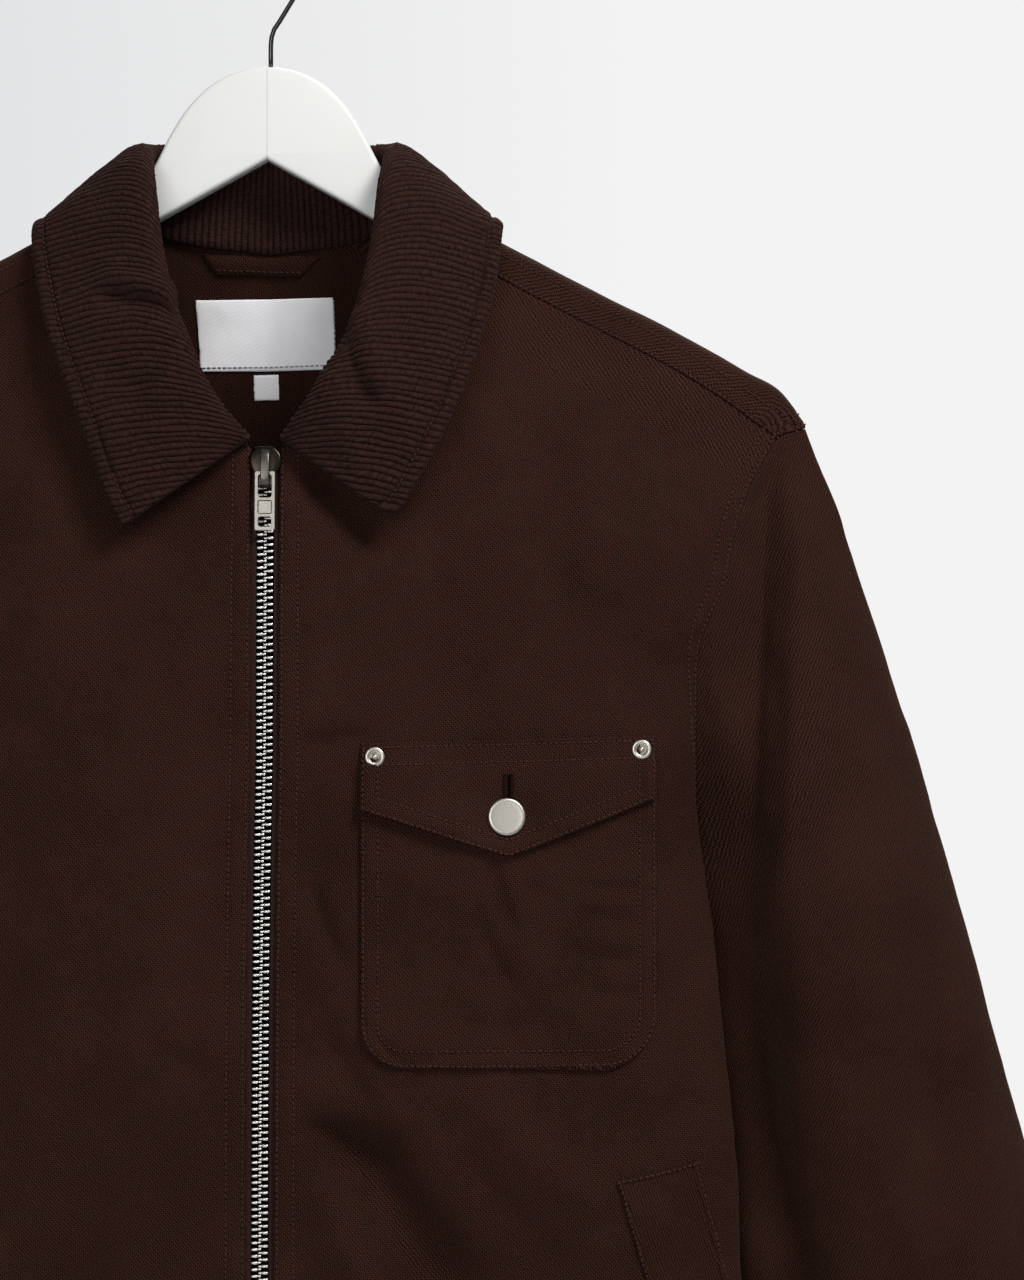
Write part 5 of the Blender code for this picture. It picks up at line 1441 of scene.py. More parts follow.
# ---- chest pocket and flap --------------------------------------------------
HEMMED = (0, 0.4, 0.8, 1.2, 2.0, 3.6, 5.4, 6.7, 7.5, 8.3, 10.0)
ROUND = (20.0, 23.5)    # radii of the pocket's two lower corners
on_left = caster(left.grid)
wide, tall = POCKET_RIGHT_X - POCKET_LEFT_X, POCKET_TOP_Z - POCKET_BOTTOM_Z
u = spread(wide, 2.0, HEMMED, HEMMED)[None]
v = spread(tall, 2.0, HEMMED, (0, 0.4, 0.9))[:, None]
z = POCKET_BOTTOM_Z + tall * v + 0 * u
insets = [radius - np.sqrt(radius ** 2 - np.clip(radius - tall * v, 0, radius) ** 2)
          for radius in ROUND]
x = POCKET_LEFT_X + insets[0] + (wide - insets[0] - insets[1]) * u
side_in = edges_of(np.stack([x, 0 * x, z], -1))
side_in = np.minimum(np.minimum(side_in.left, side_in.right), side_in.low)
lift = GAP + 0.9 * (np.sin(math.pi * u) * np.sin(math.pi * v)) ** 0.7 + 0 * x
lift += np.maximum(sewn(side_in, POCKET_ROWS, 0.3, 0.7, 0.6), -0.25)
lift += 0.7 * smooth_step(1 - side_in / 9) + pucker(side_in, x + z, 4.2, 6.5, 0.42, 7.0, 221)
fade = (smooth_step(np.minimum(u, 1 - u) * wide / 10)
        * smooth_step(np.minimum(v, 1 - v) * tall / 10))
folds = crease_height(x, z, CREASES_POCKET) + 0.75 * crumple(x, z, 24.0, 201)
lift += np.maximum(fade * folds, -0.5 * GAP - 2.2 * fade)
shown["chest_pocket"], pocket_grid = patch("chest_pocket_cloth", on_left, x, z, lift, canvas)
u = spread(wide, 1.9, HEMMED, HEMMED)[None]
v = spread(42, 1.7, HEMMED, (0, 0.4, 0.9, 1.5, 2.2, 3.0, 5.0, 8.0, 9.2, 10, 10.8, 12))[:, None]
x = POCKET_LEFT_X + wide * u + 0 * v
top_z = FLAP_TOP[0][1] + (FLAP_TOP[1][1] - FLAP_TOP[0][1]) * u
low_z = np.interp(x, [p[0] for p in FLAP_BOTTOM], [p[1] for p in FLAP_BOTTOM])
low_z = low_z + 1.1 * bell(x, FLAP_BOTTOM[1][0], 4.0)
z = low_z + (top_z - low_z) * v
lift = 0.3 + (2.4 + 0.8 * (1 - u)) * (1 - v) ** 1.5 + 0 * x
side_in = np.minimum(np.minimum(u, 1 - u) * wide, (z - low_z) * 0.97)
lift += (sewn(side_in, POCKET_ROWS, 0.3, 0.7, 0.5)
         + sewn(top_z - z, FLAP_ROWS, 0.25, 0.8, 0.3) + 0.1)
press = np.exp(-((x - BUTTON_AT[0]) ** 2 + (z - BUTTON_AT[1]) ** 2) / 14.0 ** 2)
lift = lift * (1 - 0.75 * press)
lift += 0.5 * smooth_step(np.minimum(u, 1 - u) * wide / 12) * (crumple(x, z, 22.0, 211) + 0.6)
shown["chest_flap"], flap_grid = patch(
    "chest_flap_cloth", caster(left.grid, pocket_grid), x, z, lift, canvas, passes=6)
on_flap = caster(left.grid, pocket_grid, flap_grid)


def pocket_path(inset, top):
    x0, x1 = POCKET_LEFT_X + inset, POCKET_RIGHT_X - inset
    z0, near, far = POCKET_BOTTOM_Z + inset, ROUND[0] - inset, ROUND[1] - inset
    return ([(x0, top)] + corner(x0 + near, z0 + near, near, 180, 270, 14)
            + corner(x1 - far, z0 + far, far, 270, 360, 14) + [(x1, top)])


def flap_path(inset, top):
    """Around the flap's sides and point, an even way inside its edge."""
    (x0, z0), (xm, zm), (x1, z1) = FLAP_BOTTOM
    rise = inset * 1.03
    slope0, slope1 = (zm - z0) / (xm - x0), (z1 - zm) / (x1 - xm)
    return [(x0 + inset, top), (x0 + inset, z0 + slope0 * inset + rise), (xm, zm + rise),
            (x1 - inset, z1 - slope1 * inset + rise), (x1 - inset, top)]


for inset in POCKET_ROWS:
    stitches.append(line_on(pocket_grid, pocket_path(inset, -396)))
    stitches.append(line_on(flap_grid, flap_path(inset, -384.0 - inset * 0.2)))
for drop in FLAP_ROWS:
    stitches.append(line_on(flap_grid, [(POCKET_LEFT_X + 1.5, FLAP_TOP[0][1] - drop),
                                        (POCKET_RIGHT_X - 1.5, FLAP_TOP[1][1] - drop)]))


# ---- hand pocket welts ------------------------------------------------------
def welt_piece(name, cloth, sign):
    """Slanted welt set in a front, with its open edge and the lip beside it."""
    (x0, z0), (x1, z1) = WELT_TOP
    top_left, top_right = girth_at_x(x0, z0, FRONT), girth_at_x(x1, z1, FRONT)
    ends = (0, 0.5, 1.1, 1.9, 2.6, 3.1, 3.6, 4.0, 4.4, 4.9, 5.6, 7.0)
    u = spread(38, 1.9, (0, 0.3, 0.7, 1.2, 2.0), ends)[None]
    v = spread(151, 2.0, (0, 0.4, 0.9, 1.6), (0, 0.4, 0.8, 1.3, 2.0))[:, None]
    down = WELT_LENGTH * (1 - v)
    z = z0 + (z1 - z0) * u - down
    girth = top_left + (top_right - top_left) * u * 38 / 33 + down * WELT_SLANT
    low = cloth.grid[:cloth.under + 1]
    row = np.interp(z, low[:, 0, 2], np.arange(len(low)))
    girths = cloth.uv[:cloth.under + 1, :, 0]
    place = np.zeros(z.shape + (6,))
    both = np.concatenate([low, cloth.normals[:cloth.under + 1]], axis=-1)
    for index in np.ndindex(z.shape):
        j = min(int(row[index]), len(low) - 2)
        t = row[index] - j
        for k, part in ((j, 1 - t), (j + 1, t)):
            place[index] += part * pick(girth[index], girths[k], both[k])
    # Height: a lip and a groove along the open edge, and sewn sides all round.
    base, normals = smooth_grid(place[..., :3], 3), unit(place[..., 3:])
    edges = edges_of(base)
    gap, rim = edges.right, np.minimum(edges.left, edges.high)
    height = PLY * (0.25 + 0.75 * smooth_step(gap / 1.6))
    height += 0.45 * bell(gap, 2.6, 0.8)
    height += 0.7 * bell(gap, 5.2, 1.6) * smooth_step(edges.high / 3)
    height -= 1.15 * bell(gap, 3.8, 0.42) * smooth_step((edges.high - 0.6) / 1.6)
    height += 0.5 * bell(rim, 0, 0.9) - 0.35 * bell(rim, 1.9, 0.5)
    height += round_off(rim, 0.6, 0.35) + 0.3 * crumple(girth, z, 16.0, 401)
    outer = base + normals * (0.12 + np.maximum(height, 0.15))[..., None]
    inner = base + normals * (0.12 - 0.3)
    uv = np.stack([girth, z], -1) @ np.array([[0.94, 0.34], [-0.34, 0.94]])
    lines = [row_at(outer, normals, edges.left, 0.5), column_at(outer, normals, edges.high, 0.5),
             row_at(outer, normals, edges.right, 1.6)]
    if sign < 0:
        outer, inner = flip_x(outer), flip_x(inner)
        uv = (uv * MIRROR[:2])[:, ::-1]
        lines = [mirrored(line) for line in lines]
    stitches.extend(lines)
    return shell(name, outer, inner[::2, ::2], uv, canvas)


shown["hand_welt_left"] = welt_piece("hand_welt_left_cloth", left, 1)
shown["hand_welt_right"] = welt_piece("hand_welt_right_cloth", right, -1)

# ---- inside the back neck ---------------------------------------------------
behind = [b.grid - b.normals * CLOTH for b in (back_left, back_right)]
on_back = caster(behind[0], behind[1] * MIRROR)


def flat_piece(name, top, bottom, skin, thickness, step, ragged=0.0, lift=0.3, bow=0.0):
    """Four-sided cloth on the inner side of the back."""
    width = top[1][0] - top[0][0]
    height = top[0][1] - bottom[0][1]
    u = spread(width, step, (0, 0.3, 0.8), (0, 0.3, 0.8))[None]
    v = spread(height, step, (0, 0.3, 0.8), (0, 0.3, 0.8))[:, None]
    low, high = (np.array(side[0]) * (1 - u[..., None]) + np.array(side[1]) * u[..., None]
                 for side in (bottom, top))
    x, z = (low[..., k] * (1 - v) + high[..., k] * v for k in (0, 1))
    frayed = ragged * noise(v * height / 1.3, 0.3, 301)
    x = x + frayed * (np.abs(2 * u - 1) ** 8) * np.sign(u - 0.5)
    rise = lift + bow * np.sin(math.pi * v) * np.sin(math.pi * u) ** 0.5
    return patch(name, on_back, x, z, rise + 0.12 * crumple(x, z, 12.0, 311), skin, thickness)


shown["neck_label"], label_grid = flat_piece(
    "neck_label_cloth", ((-35.8, -177.3), (29.2, -176.0)), ((-33.8, -210.7), (30.6, -209.4)),
    label_cloth, 0.5, 1.6, 0.35, 0.5)
shown["size_tab"], _ = flat_piece(
    "size_tab_cloth", ((-9.0, -212.0), (2.8, -211.6)), ((-8.8, -223.8), (3.0, -223.5)),
    label_cloth, 0.45, 0.9, 0.15, 0.4)
shown["neck_loop"], loop_grid = flat_piece(
    "neck_loop_cloth", ((-32.0, -156.0), (24.0, -157.0)), ((-25.5, -165.6), (14.0, -166.6)),
    canvas, 1.2, 1.4, 0.0, 0.5, 1.2)
stitches.append(line_on(loop_grid, [(-24.5, -163.6), (13.0, -164.6)]))

# ---- zip --------------------------------------------------------------------
zip_path = left.grid[:left.neck + 1, 0].copy()
zip_path[:, 0] = zip_x(zip_path[:, 2])
slope = unit(np.gradient(zip_path, axis=0) * UPRIGHT)
inward = np.stack([0 * slope[:, 0], slope[:, 2], -slope[:, 1]], -1)


def zip_at(z):
    """Place, way up and way in on the zip's line at a height."""
    at = [pick(z, zip_path[:, 2], a) for a in (zip_path, slope, inward)]
    return at[0], unit(at[1]), unit(at[2])


heights = HEM_Z + 2 + (ZIP_TOP_Z - HEM_Z - 2) * spread(548, 2.2, (0, 0.6), (0, 0.6))
place, _, into = zip_at(heights)
tape = TAPE_HALF - TEETH_HALF - 0.3
off = TEETH_HALF + 0.3 + tape * spread(tape, 0.9, (0, 0.25), (0, 0.3))[None]
cord = 0.45 * bell(off - TEETH_HALF, 1.1, 0.8)
near = 1.75 - cord - 0.15 * bell(off - TEETH_HALF, 3.0, 0.5)
for side, name in ((1, "zip_tape_left"), (-1, "zip_tape_right")):
    grid = place[:, None] + off[..., None] * np.array([side, 0, 0])
    outer, inner = (grid + into[:, None] * (deep + 0 * off)[..., None] for deep in (near, 3.05))
    uv = np.stack(np.broadcast_arrays(off * side, heights[:, None]), -1)
    outer, inner, uv = (g[:, ::side] for g in (outer, inner, uv))
    shown[name] = shell(name + "_cloth", outer, inner[::2, ::2], uv, tape_cloth)


def rounded_block(size, centre, radius, segments=1):
    """Block with its edges rounded."""
    bm = bmesh.new()
    shape = Matrix.Translation(Vector(centre)) @ Matrix.Diagonal((*size, 1))
    bmesh.ops.create_cube(bm, size=1.0, matrix=shape)
    bmesh.ops.bevel(bm, geom=bm.edges[:], offset=radius, segments=segments, affect="EDGES",
                    profile=0.6)
    return bm


def together(shapes):
    """One bmesh of several."""
    whole = bmesh.new()
    for bm in shapes:
        part = bpy.data.meshes.new("part")
        bm.to_mesh(part)
        bm.free()
        whole.from_mesh(part)
        bpy.data.meshes.remove(part)
    return whole


def mesh_of(name, bm):
    mesh = bpy.data.meshes.new(name)
    bm.to_mesh(mesh)
    bm.free()
    return mesh


def merge(name, shapes, skin, place=None):
    """One object of several closed shapes, given as bmeshes in millimetres."""
    whole = together(shapes)
    whole.transform(Matrix.Scale(MM, 4))
    if place is not None:
        whole.transform(place)
    bmesh.ops.recalc_face_normals(whole, faces=whole.faces)
    return add(name, mesh_of(name, whole), skin)


def tube(rings):
    """Closed solid through rings of points; a ring of one point makes a tip."""
    bm = bmesh.new()
    rings = [[bm.verts.new(point) for point in ring] for ring in rings]
    for a, b in zip(rings, rings[1:]):
        count = max(len(a), len(b))
        for k in range(count):
            n = (k + 1) % count
            around = (a[k % len(a)], a[n % len(a)], b[n % len(b)], b[k % len(b)])
            bm.faces.new(list(dict.fromkeys(around)))
    for ring in (rings[0][::-1], rings[-1]):
        if len(ring) > 2:
            bm.faces.new(ring)
    return bm


def loft(outline, layers, middle=(0.0, 0.0)):
    """Closed solid through copies of an outline in x and z, each scaled and set at its own y."""
    return tube([[(middle[0] + (x - middle[0]) * scale, y, middle[1] + (z - middle[1]) * scale)
                  for x, z in outline] for scale, y in layers])


def curve_through(p0, p1, p2, p3, t):
    """Point of a smooth curve between its second and third points."""
    return 0.5 * (2 * p1 + (p2 - p0) * t + (2 * p0 - 5 * p1 + 4 * p2 - p3) * t * t
                  + (3 * p1 - p0 - 3 * p2 + p3) * t ** 3)


def smooth_outline(points, count=72):
    """Closed curve through points, evenly spaced."""
    points = np.array(points, float)
    fine = [curve_through(*(points[(k + q - 1) % len(points)] for q in range(4)), t)
            for k in range(len(points)) for t in np.linspace(0, 1, 12, endpoint=False)]
    fine = np.array(fine + fine[:1])
    way = way_along(fine)
    return pick(np.linspace(0, way[-1], count, endpoint=False), way, fine).tolist()


def bar(profile, x0, x1, radius):
    """Solid of an outline in y and z between two values of x, with rounded edges."""
    bm = tube([[(x, y, z) for y, z in profile] for x in (x0, x1)])
    long = [e for e in bm.edges if abs(e.verts[0].co.x - e.verts[1].co.x) < 1e-6]
    bmesh.ops.bevel(bm, geom=long, offset=radius, segments=2, affect="EDGES", profile=0.6)
    return bm


joint = frame["joints"][0]
axis_at = Vector(joint["pos_m"])
_, up, _ = zip_at(np.array([SLIDER_Z]))
lean = math.atan2(-up[0][1], up[0][2])
tilt = Matrix.Rotation(lean, 4, "X")
at_slider = Matrix.Translation(axis_at) @ tilt @ Matrix.Translation(
    Vector((0, 3.65, PULL_DOWN)) * MM)
crown = smooth_outline([(0, 6.2), (4.2, 5.6), (6.9, 2.6), (7.1, -1.6), (5.7, -5.4), (4.5, -8.6),
                        (4.2, -12.2), (0, -12.9), (-4.2, -12.2), (-4.5, -8.6), (-5.7, -5.4),
                        (-7.1, -1.6), (-6.9, 2.6), (-4.2, 5.6)])
BRIDGE = [(-2.0, 4.4), (-3.6, 4.3), (-5.1, 3.4), (-6.0, 1.4), (-6.25, -2.0), (-6.25, -6.4),
          (-6.0, -9.6), (-5.1, -11.6), (-3.6, -12.4), (-2.0, -12.5), (-2.0, -10.9),
          (-3.4, -10.8), (-4.5, -10.0), (-5.0, -8.4), (-5.15, -6.0), (-5.15, -2.0),
          (-4.9, 0.8), (-4.2, 2.2), (-3.2, 2.8), (-2.0, 2.9)]
shapes = [
    loft(crown, [(0.97, -0.6), (1.0, -0.9), (1.0, -1.6), (0.965, -1.98), (0.86, -2.24),
                 (0.6, -2.4), (0.25, -2.45)], (0, -2)),
    loft(crown, [(0.86, 4.05), (0.88, 4.3), (0.88, 5.0), (0.84, 5.25)], (0, -2)),
    rounded_block((3.0, 5.4, 4.6), (0, 1.6, 2.6), 0.4, 2)]
shapes += [rounded_block((1.7, 2.8, 7.4), (x, 0.45, -0.4), 0.5, 2) for x in (5.3, -5.3)]
# The slider's nickel is darkened as a painted dark reflection.
shown["zip_slider"] = merge("zip_slider_metal", shapes, dark_nickel, at_slider)
shown["zip_bridge"] = merge("zip_bridge_metal", [bar(BRIDGE, -2.0, 2.0, 0.6)], bridge_nickel,
                            at_slider)


def plate(name, loops, half, edge):
    """Plate of an outline with holes, its edges rounded, in the x and z plane."""
    curve = bpy.data.curves.new(name, "CURVE")
    curve.dimensions = "2D"
    curve.fill_mode = "BOTH"
    curve.extrude = (half - edge) * MM
    curve.bevel_depth = edge * MM
    curve.bevel_resolution = 2
    curve.offset = -edge * MM
    for points in loops:
        spline = curve.splines.new("POLY")
        spline.points.add(len(points) - 1)
        for point, (x, z) in zip(spline.points, points):
            point.co = (x * MM, z * MM, 0.0, 1.0)
        spline.use_cyclic_u = True
    bm = bmesh.new()
    bm.from_mesh(evaluated(linked(name, curve)))
    bpy.data.curves.remove(curve)
    bmesh.ops.remove_doubles(bm, verts=bm.verts, dist=0.000002)
    bm.transform(Matrix.Rotation(math.pi / 2, 4, "X"))
    bmesh.ops.recalc_face_normals(bm, faces=bm.faces)
    return bm


def evaluated(made):
    """Plain mesh of what an object comes to, which is then removed."""
    bpy.context.view_layer.update()
    ready = made.evaluated_get(bpy.context.evaluated_depsgraph_get())
    mesh = bpy.data.meshes.new_from_object(ready)
    bpy.data.objects.remove(made, do_unlink=True)
    return mesh


def rounded_loop(x0, x1, z0, z1, radius, count=6):
    corners = ((x0 + radius, z0 + radius, 180), (x1 - radius, z0 + radius, 270),
               (x1 - radius, z1 - radius, 0), (x0 + radius, z1 - radius, 90))
    return [point for x, z, turn in corners
            for point in corner(x, z, radius, turn, turn + 90, count)]


tab = plate("zip_pull_metal", [rounded_loop(-4.6, 4.6, -26.2, 0.7, 1.0),
                               rounded_loop(-3.0, 3.0, -11.2, -0.85, 1.2)[::-1],
                               rounded_loop(-3.1, 3.1, -18.6, -12.6, 0.6)[::-1],
                               rounded_loop(-2.9, 2.9, -24.4, -20.0, 1.0)[::-1]], 0.8, 0.22)
panel = rounded_block((5.9, 0.9, 5.7), (0, 0.1, -15.6), 0.15)
panel.transform(Matrix.Scale(MM, 4))
tab = together([tab, panel])
tab.transform(Matrix.Translation(axis_at) @ tilt @ Matrix.Rotation(math.radians(3.0), 4, "X"))
shown["zip_pull"] = add("zip_pull_metal", mesh_of("zip_pull_metal", tab), pull_nickel,
                        smooth=False)

foot = zip_at(np.array([HEM_Z + 14.8]))[0][0]
shown["zip_box"] = merge("zip_box_metal", [
    rounded_block(size, (foot[0], foot[1] + 2.2, HEM_Z + rise), 0.5, 2)
    for size, rise in (((6.8, 2.8, 12.0), 14.8), ((7.3, 3.2, 1.6), 9.8))], nickel)


def scatter_tree(name, along):
    """Nodes that set a shape along lines, or on points that carry their own turn."""
    tree = bpy.data.node_groups.new(name, "GeometryNodeTree")
    for label, way, kind in (("Geometry", "INPUT", "Geometry"), ("Shape", "INPUT", "Object"),
                             ("Skin", "INPUT", "Material"), ("Pitch", "INPUT", "Float"),
                             ("Geometry", "OUTPUT", "Geometry")):
        tree.interface.new_socket(label, in_out=way, socket_type="NodeSocket" + kind)
    given, made = tree.nodes.new("NodeGroupInput"), tree.nodes.new("NodeGroupOutput")
    shape = wire(tree, "GeometryNodeObjectInfo", {"Object": given.outputs["Shape"]})

    def carried(key):
        return wire(tree, "GeometryNodeInputNamedAttribute", {"Name": key},
                    data_type="FLOAT_VECTOR").outputs["Attribute"]

    if along:
        curve = wire(tree, "GeometryNodeMeshToCurve", {"Mesh": given.outputs["Geometry"]})
        even = wire(tree, "GeometryNodeResampleCurve", {
            "Curve": curve.outputs[0], "Length": given.outputs["Pitch"]}, mode="LENGTH")
        points, way = even.outputs[0], tree.nodes.new("GeometryNodeInputTangent").outputs[0]
        size = wire(tree, "FunctionNodeRandomValue", {"Min": (0.86, 0.85, 0.8),
                                                      "Max": (1.1, 1.15, 1.2), "Seed": 5},
                    data_type="FLOAT_VECTOR").outputs[0]
    else:
        points, way, size = given.outputs["Geometry"], carried("way"), (1.0, 1.0, 1.0)
    turned = wire(tree, "FunctionNodeAlignRotationToVector", {"Vector": way}, axis="X")
    turned = wire(tree, "FunctionNodeAlignRotationToVector", {
        "Rotation": turned.outputs[0], "Vector": carried("facing")}, axis="Z", pivot_axis="X")
    set_out = wire(tree, "GeometryNodeInstanceOnPoints", {
        "Points": points, "Instance": shape.outputs["Geometry"],
        "Rotation": turned.outputs[0], "Scale": size})
    real = wire(tree, "GeometryNodeRealizeInstances", {"Geometry": set_out.outputs[0]})
    dyed = wire(tree, "GeometryNodeSetMaterial", {"Geometry": real.outputs[0],
                                                  "Material": given.outputs["Skin"]})
    tree.links.new(dyed.outputs[0], made.inputs[0])
    return tree


def scattered(name, mesh, tree, shape, skin, pitch):
    """Run the nodes on a mesh and keep what they make as a plain mesh."""
    base = linked(name, mesh)
    nodes = base.modifiers.new("nodes", "NODES")
    nodes.node_group = tree
    keys = {item.name: item.identifier for item in tree.interface.items_tree
            if item.in_out == "INPUT"}
    for key, value in (("Shape", shape), ("Skin", skin), ("Pitch", pitch)):
        nodes[keys[key]] = value
    made = evaluated(base)
    made.name = name
    made.polygons.foreach_set("use_smooth", np.ones(len(made.polygons), bool))
    if not made.materials:
        made.materials.append(skin)
    return linked(name, made)


def shape_object(name, bm):
    bm.transform(Matrix.Scale(MM, 4))
    return bpy.data.objects.new(name, mesh_of(name, bm))


def carrier(name, points, links=(), **turns):
    """Bare points and lines for the nodes to build on, with the directions they carry."""
    mesh = bpy.data.meshes.new(name)
    mesh.from_pydata((np.array(points, float) * MM).tolist(), links, [])
    for key, data in turns.items():
        attribute = mesh.attributes.new(key, "FLOAT_VECTOR", "POINT")
        attribute.data.foreach_set("vector", np.array(data, np.float32).ravel())
    return mesh


def line_carrier(name, lines):
    """The same for lines given with their facing."""
    links, start = [], 0
    for line, _ in lines:
        links += [(start + k, start + k + 1) for k in range(len(line) - 1)]
        start += len(line)
    points, facings = (np.concatenate(part) for part in zip(*lines))
    return carrier(name, points, links, facing=facings)


tooth_shape = shape_object("tooth_shape", together(
    [rounded_block((2.85, 1.15, 2.2), (2.35, 0, 0), 0.25),
     rounded_block((1.9, 0.9, 1.5), (0.25, -0.1, -0.25), 0.25)]))
places, ways, facings = [], [], []
for side in (1, -1):
    first = HEM_Z + 22 + (0 if side > 0 else TOOTH_STEP / 2)
    heights = np.arange(first, SLIDER_Z - 2, TOOTH_STEP)
    place, up, into = zip_at(heights)
    places.append(place + into * 2.1)
    ways.append(np.tile([side, 0, 0], (len(heights), 1)))
    facings.append(-into)
mesh = carrier("teeth_places", np.concatenate(places), way=np.concatenate(ways),
               facing=np.concatenate(facings))
set_singly = scatter_tree("shapes_on_points", False)
shown["zip_chain"] = scattered("zip_teeth_metal", mesh, set_singly, tooth_shape, tooth_nickel,
                               1.0)


def stitch_bm():
    """Short stitch that dips into the cloth at both ends."""
    rings = [[(-1.1, 0, -0.18)]]
    for x, radius, z in ((-0.75, 0.33, 0.06), (0.0, 0.4, 0.2), (0.75, 0.33, 0.06)):
        rings.append([(x, radius * math.cos(a), z + radius * math.sin(a))
                      for a in np.linspace(0, 2 * math.pi, 5, endpoint=False)])
    bm = tube(rings + [[(1.1, 0, -0.18)]])
    bmesh.ops.recalc_face_normals(bm, faces=bm.faces)
    return bm


stitch_shape = shape_object("stitch_shape", stitch_bm())
stitching = scatter_tree("stitches_on_lines", True)
mesh = line_carrier("stitch_lines", stitches)
holes = mesh.copy()
shown["stitches"] = scattered("stitches_thread", mesh, stitching, stitch_shape, thread,
                              STITCH * MM)
# Near-black dots between the stitches: painted shade in the needle holes.
hole = bmesh.new()
bmesh.ops.create_cone(hole, cap_ends=False, segments=5, radius1=0.4, radius2=0.0, depth=0.3,
                      matrix=Matrix.Translation(Vector((STITCH / 2, 0, -0.04))))
bmesh.ops.contextual_create(hole, geom=[e for e in hole.edges if e.is_boundary])
shade_dot_shape = shape_object("needle_hole_shape", hole)
shown["needle_holes"] = scattered("needle_holes_thread", holes, stitching, shade_dot_shape,
                                  hole_shade, STITCH * MM)
mesh = line_carrier("label_stitch_lines", [
    line_on(label_grid, path, 0.1)
    for path in ([(29.2, -178), (29.9, -207.5)], [(-32, -208.8), (28.5, -207.6)])])
shown["label_stitches"] = scattered("label_stitches_thread", mesh, stitching, stitch_shape,
                                    grey_thread, 2.4 * MM)


# ---- button and rivets ------------------------------------------------------
def lathe(name, profile, place, facing, skin, segments=40):
    """Round piece turned from a profile of radius and height."""
    turns = np.linspace(0, 2 * math.pi, segments, endpoint=False)
    bm = tube([[(radius * math.cos(a), radius * math.sin(a), height)
                for a in (turns if radius else turns[:1])] for radius, height in profile])
    bm.transform(facing.to_track_quat("Z", "Y").to_matrix().to_4x4())
    bm.transform(Matrix.Translation(place))
    return merge(name, [bm], skin)


def disc_on(name, at, profile, skin, tip=(0, 0, 0), out=0.0):
    """Round piece on the flap, turned a little towards the front."""
    place, normal = front_of(on_flap, *at)
    facing = (Vector((0, -1, 0)) + normal * 0.3 + Vector(tip)).normalized()
    return lathe(name, profile, place + normal * out, facing, skin)


shown["chest_button"] = disc_on("chest_button_metal", BUTTON_AT, [
    (0, 1.86), (2.5, 1.88), (5.2, 1.9), (6.8, 1.93), (7.4, 1.98), (7.9, 1.9),
    (8.3, 1.6), (8.5, 1.1), (8.3, 0.5), (6.0, 0.15), (3.0, -0.4), (0, -0.4)], nickel,
    (0.05, 0, 0.12))
for name, at in zip(("rivet_inner", "rivet_outer"), RIVETS_AT):
    shown[name] = disc_on(name + "_metal", at, [
        (0, 1.9), (0.6, 1.85), (1.1, 1.5), (1.35, 0.8), (1.5, -0.3), (2.0, -0.3), (2.5, 0.6),
        (3.3, 0.95), (4.0, 0.92), (4.4, 0.65), (4.5, 0.2), (4.4, -0.9), (0, -0.9)], nickel,
        out=0.55)

# ---- worked buttonhole above the button -------------------------------------
low_z = BUTTON_AT[1] + 7.6
places, ways, facings, slit = [], [], [], []
for z in np.arange(low_z, low_z + 12.0, 0.95):
    for side in (-1, 1):
        place, normal = front_of(on_flap, BUTTON_AT[0] + 0.8 + side * 1.5, z)
        places.append(place + normal * 0.5)
        ways.append((1, 0, 0.06 * side))
        facings.append(normal)
# Rows of near-black dots along the slit: painted shade in the buttonhole's opening.
for z in np.arange(low_z, low_z + 11.0, 0.4):
    for off in (-0.5, 0.1, 0.7):
        place, normal = front_of(on_flap, BUTTON_AT[0] + off, z)
        slit.append(place + normal * 0.3)
mesh = carrier("buttonhole_places", places, way=ways, facing=facings)
shown["buttonhole"] = scattered("buttonhole_thread", mesh, set_singly, stitch_shape,
                                hole_thread, 1.0)
mesh = carrier("buttonhole_slit_places", slit, way=[(1, 0, 0)] * len(slit),
               facing=[facings[0]] * len(slit))
shown["buttonhole_slit"] = scattered("buttonhole_slit_thread", mesh, set_singly, shade_dot_shape,
                                     hole_shade, 1.0)

# ---- hanger -----------------------------------------------------------------
path = DOME + [(float(x), float(ridge(x)) - ARM_BELOW) for x in np.linspace(77.5, 217, 30)]
path = np.array(path + ARM_TIP)
smooth_path = []
for k in range(len(path) - 1):
    ends = [path[min(max(k + q - 1, 0), len(path) - 1)] for q in range(4)]
    smooth_path += [tuple(curve_through(*ends, t)) for t in (0.0, 0.34, 0.67)]
smooth_path.append(tuple(path[-1]))
smooth_path[0] = (0.0, DOME[0][1])
outline = smooth_path + [(0.0, V_APEX_Z)] + [(-x, z) for x, z in smooth_path[:0:-1]]
wood = plate("hanger_wood", [[(float(x), float(z)) for x, z in outline[::-1]]], HANGER_HALF, 1.9)
shown["hanger_body"] = add("hanger_wood", mesh_of("hanger_wood", wood), white_wood)

bend = [(STEM_X, DOME[0][1] - 6), (STEM_X, -63.5), (1.35, -60.4), (1.7, -57.2), (2.9, -53.6),
        (5.4, -49.9)]
bend += [(HOOK_RADIUS * math.cos(a), WIRE - HOOK_RADIUS + HOOK_RADIUS * math.sin(a))
         for a in np.radians(range(-30, 207, 6))]
bend = np.array(bend)
rings = []
for k, (x, z) in enumerate(bend):
    ahead = unit(bend[min(k + 1, len(bend) - 1)] - bend[max(k - 1, 0)])
    side = Vector((ahead[1], 0, -ahead[0]))
    rings.append([Vector((x, 0, z))
                  + (side * math.cos(a) + Vector((0, 1, 0)) * math.sin(a)) * WIRE
                  for a in np.linspace(0, 2 * math.pi, 16, endpoint=False)])
ahead = unit(bend[-1] - bend[-2])
last, tip = Vector((bend[-1][0], 0, bend[-1][1])), list(rings[-1])
for grow, scale in ((0.45, 0.88), (0.8, 0.55)):
    centre = last + Vector((ahead[0], 0, ahead[1])) * grow
    rings.append([centre + (point - last) * scale for point in tip])
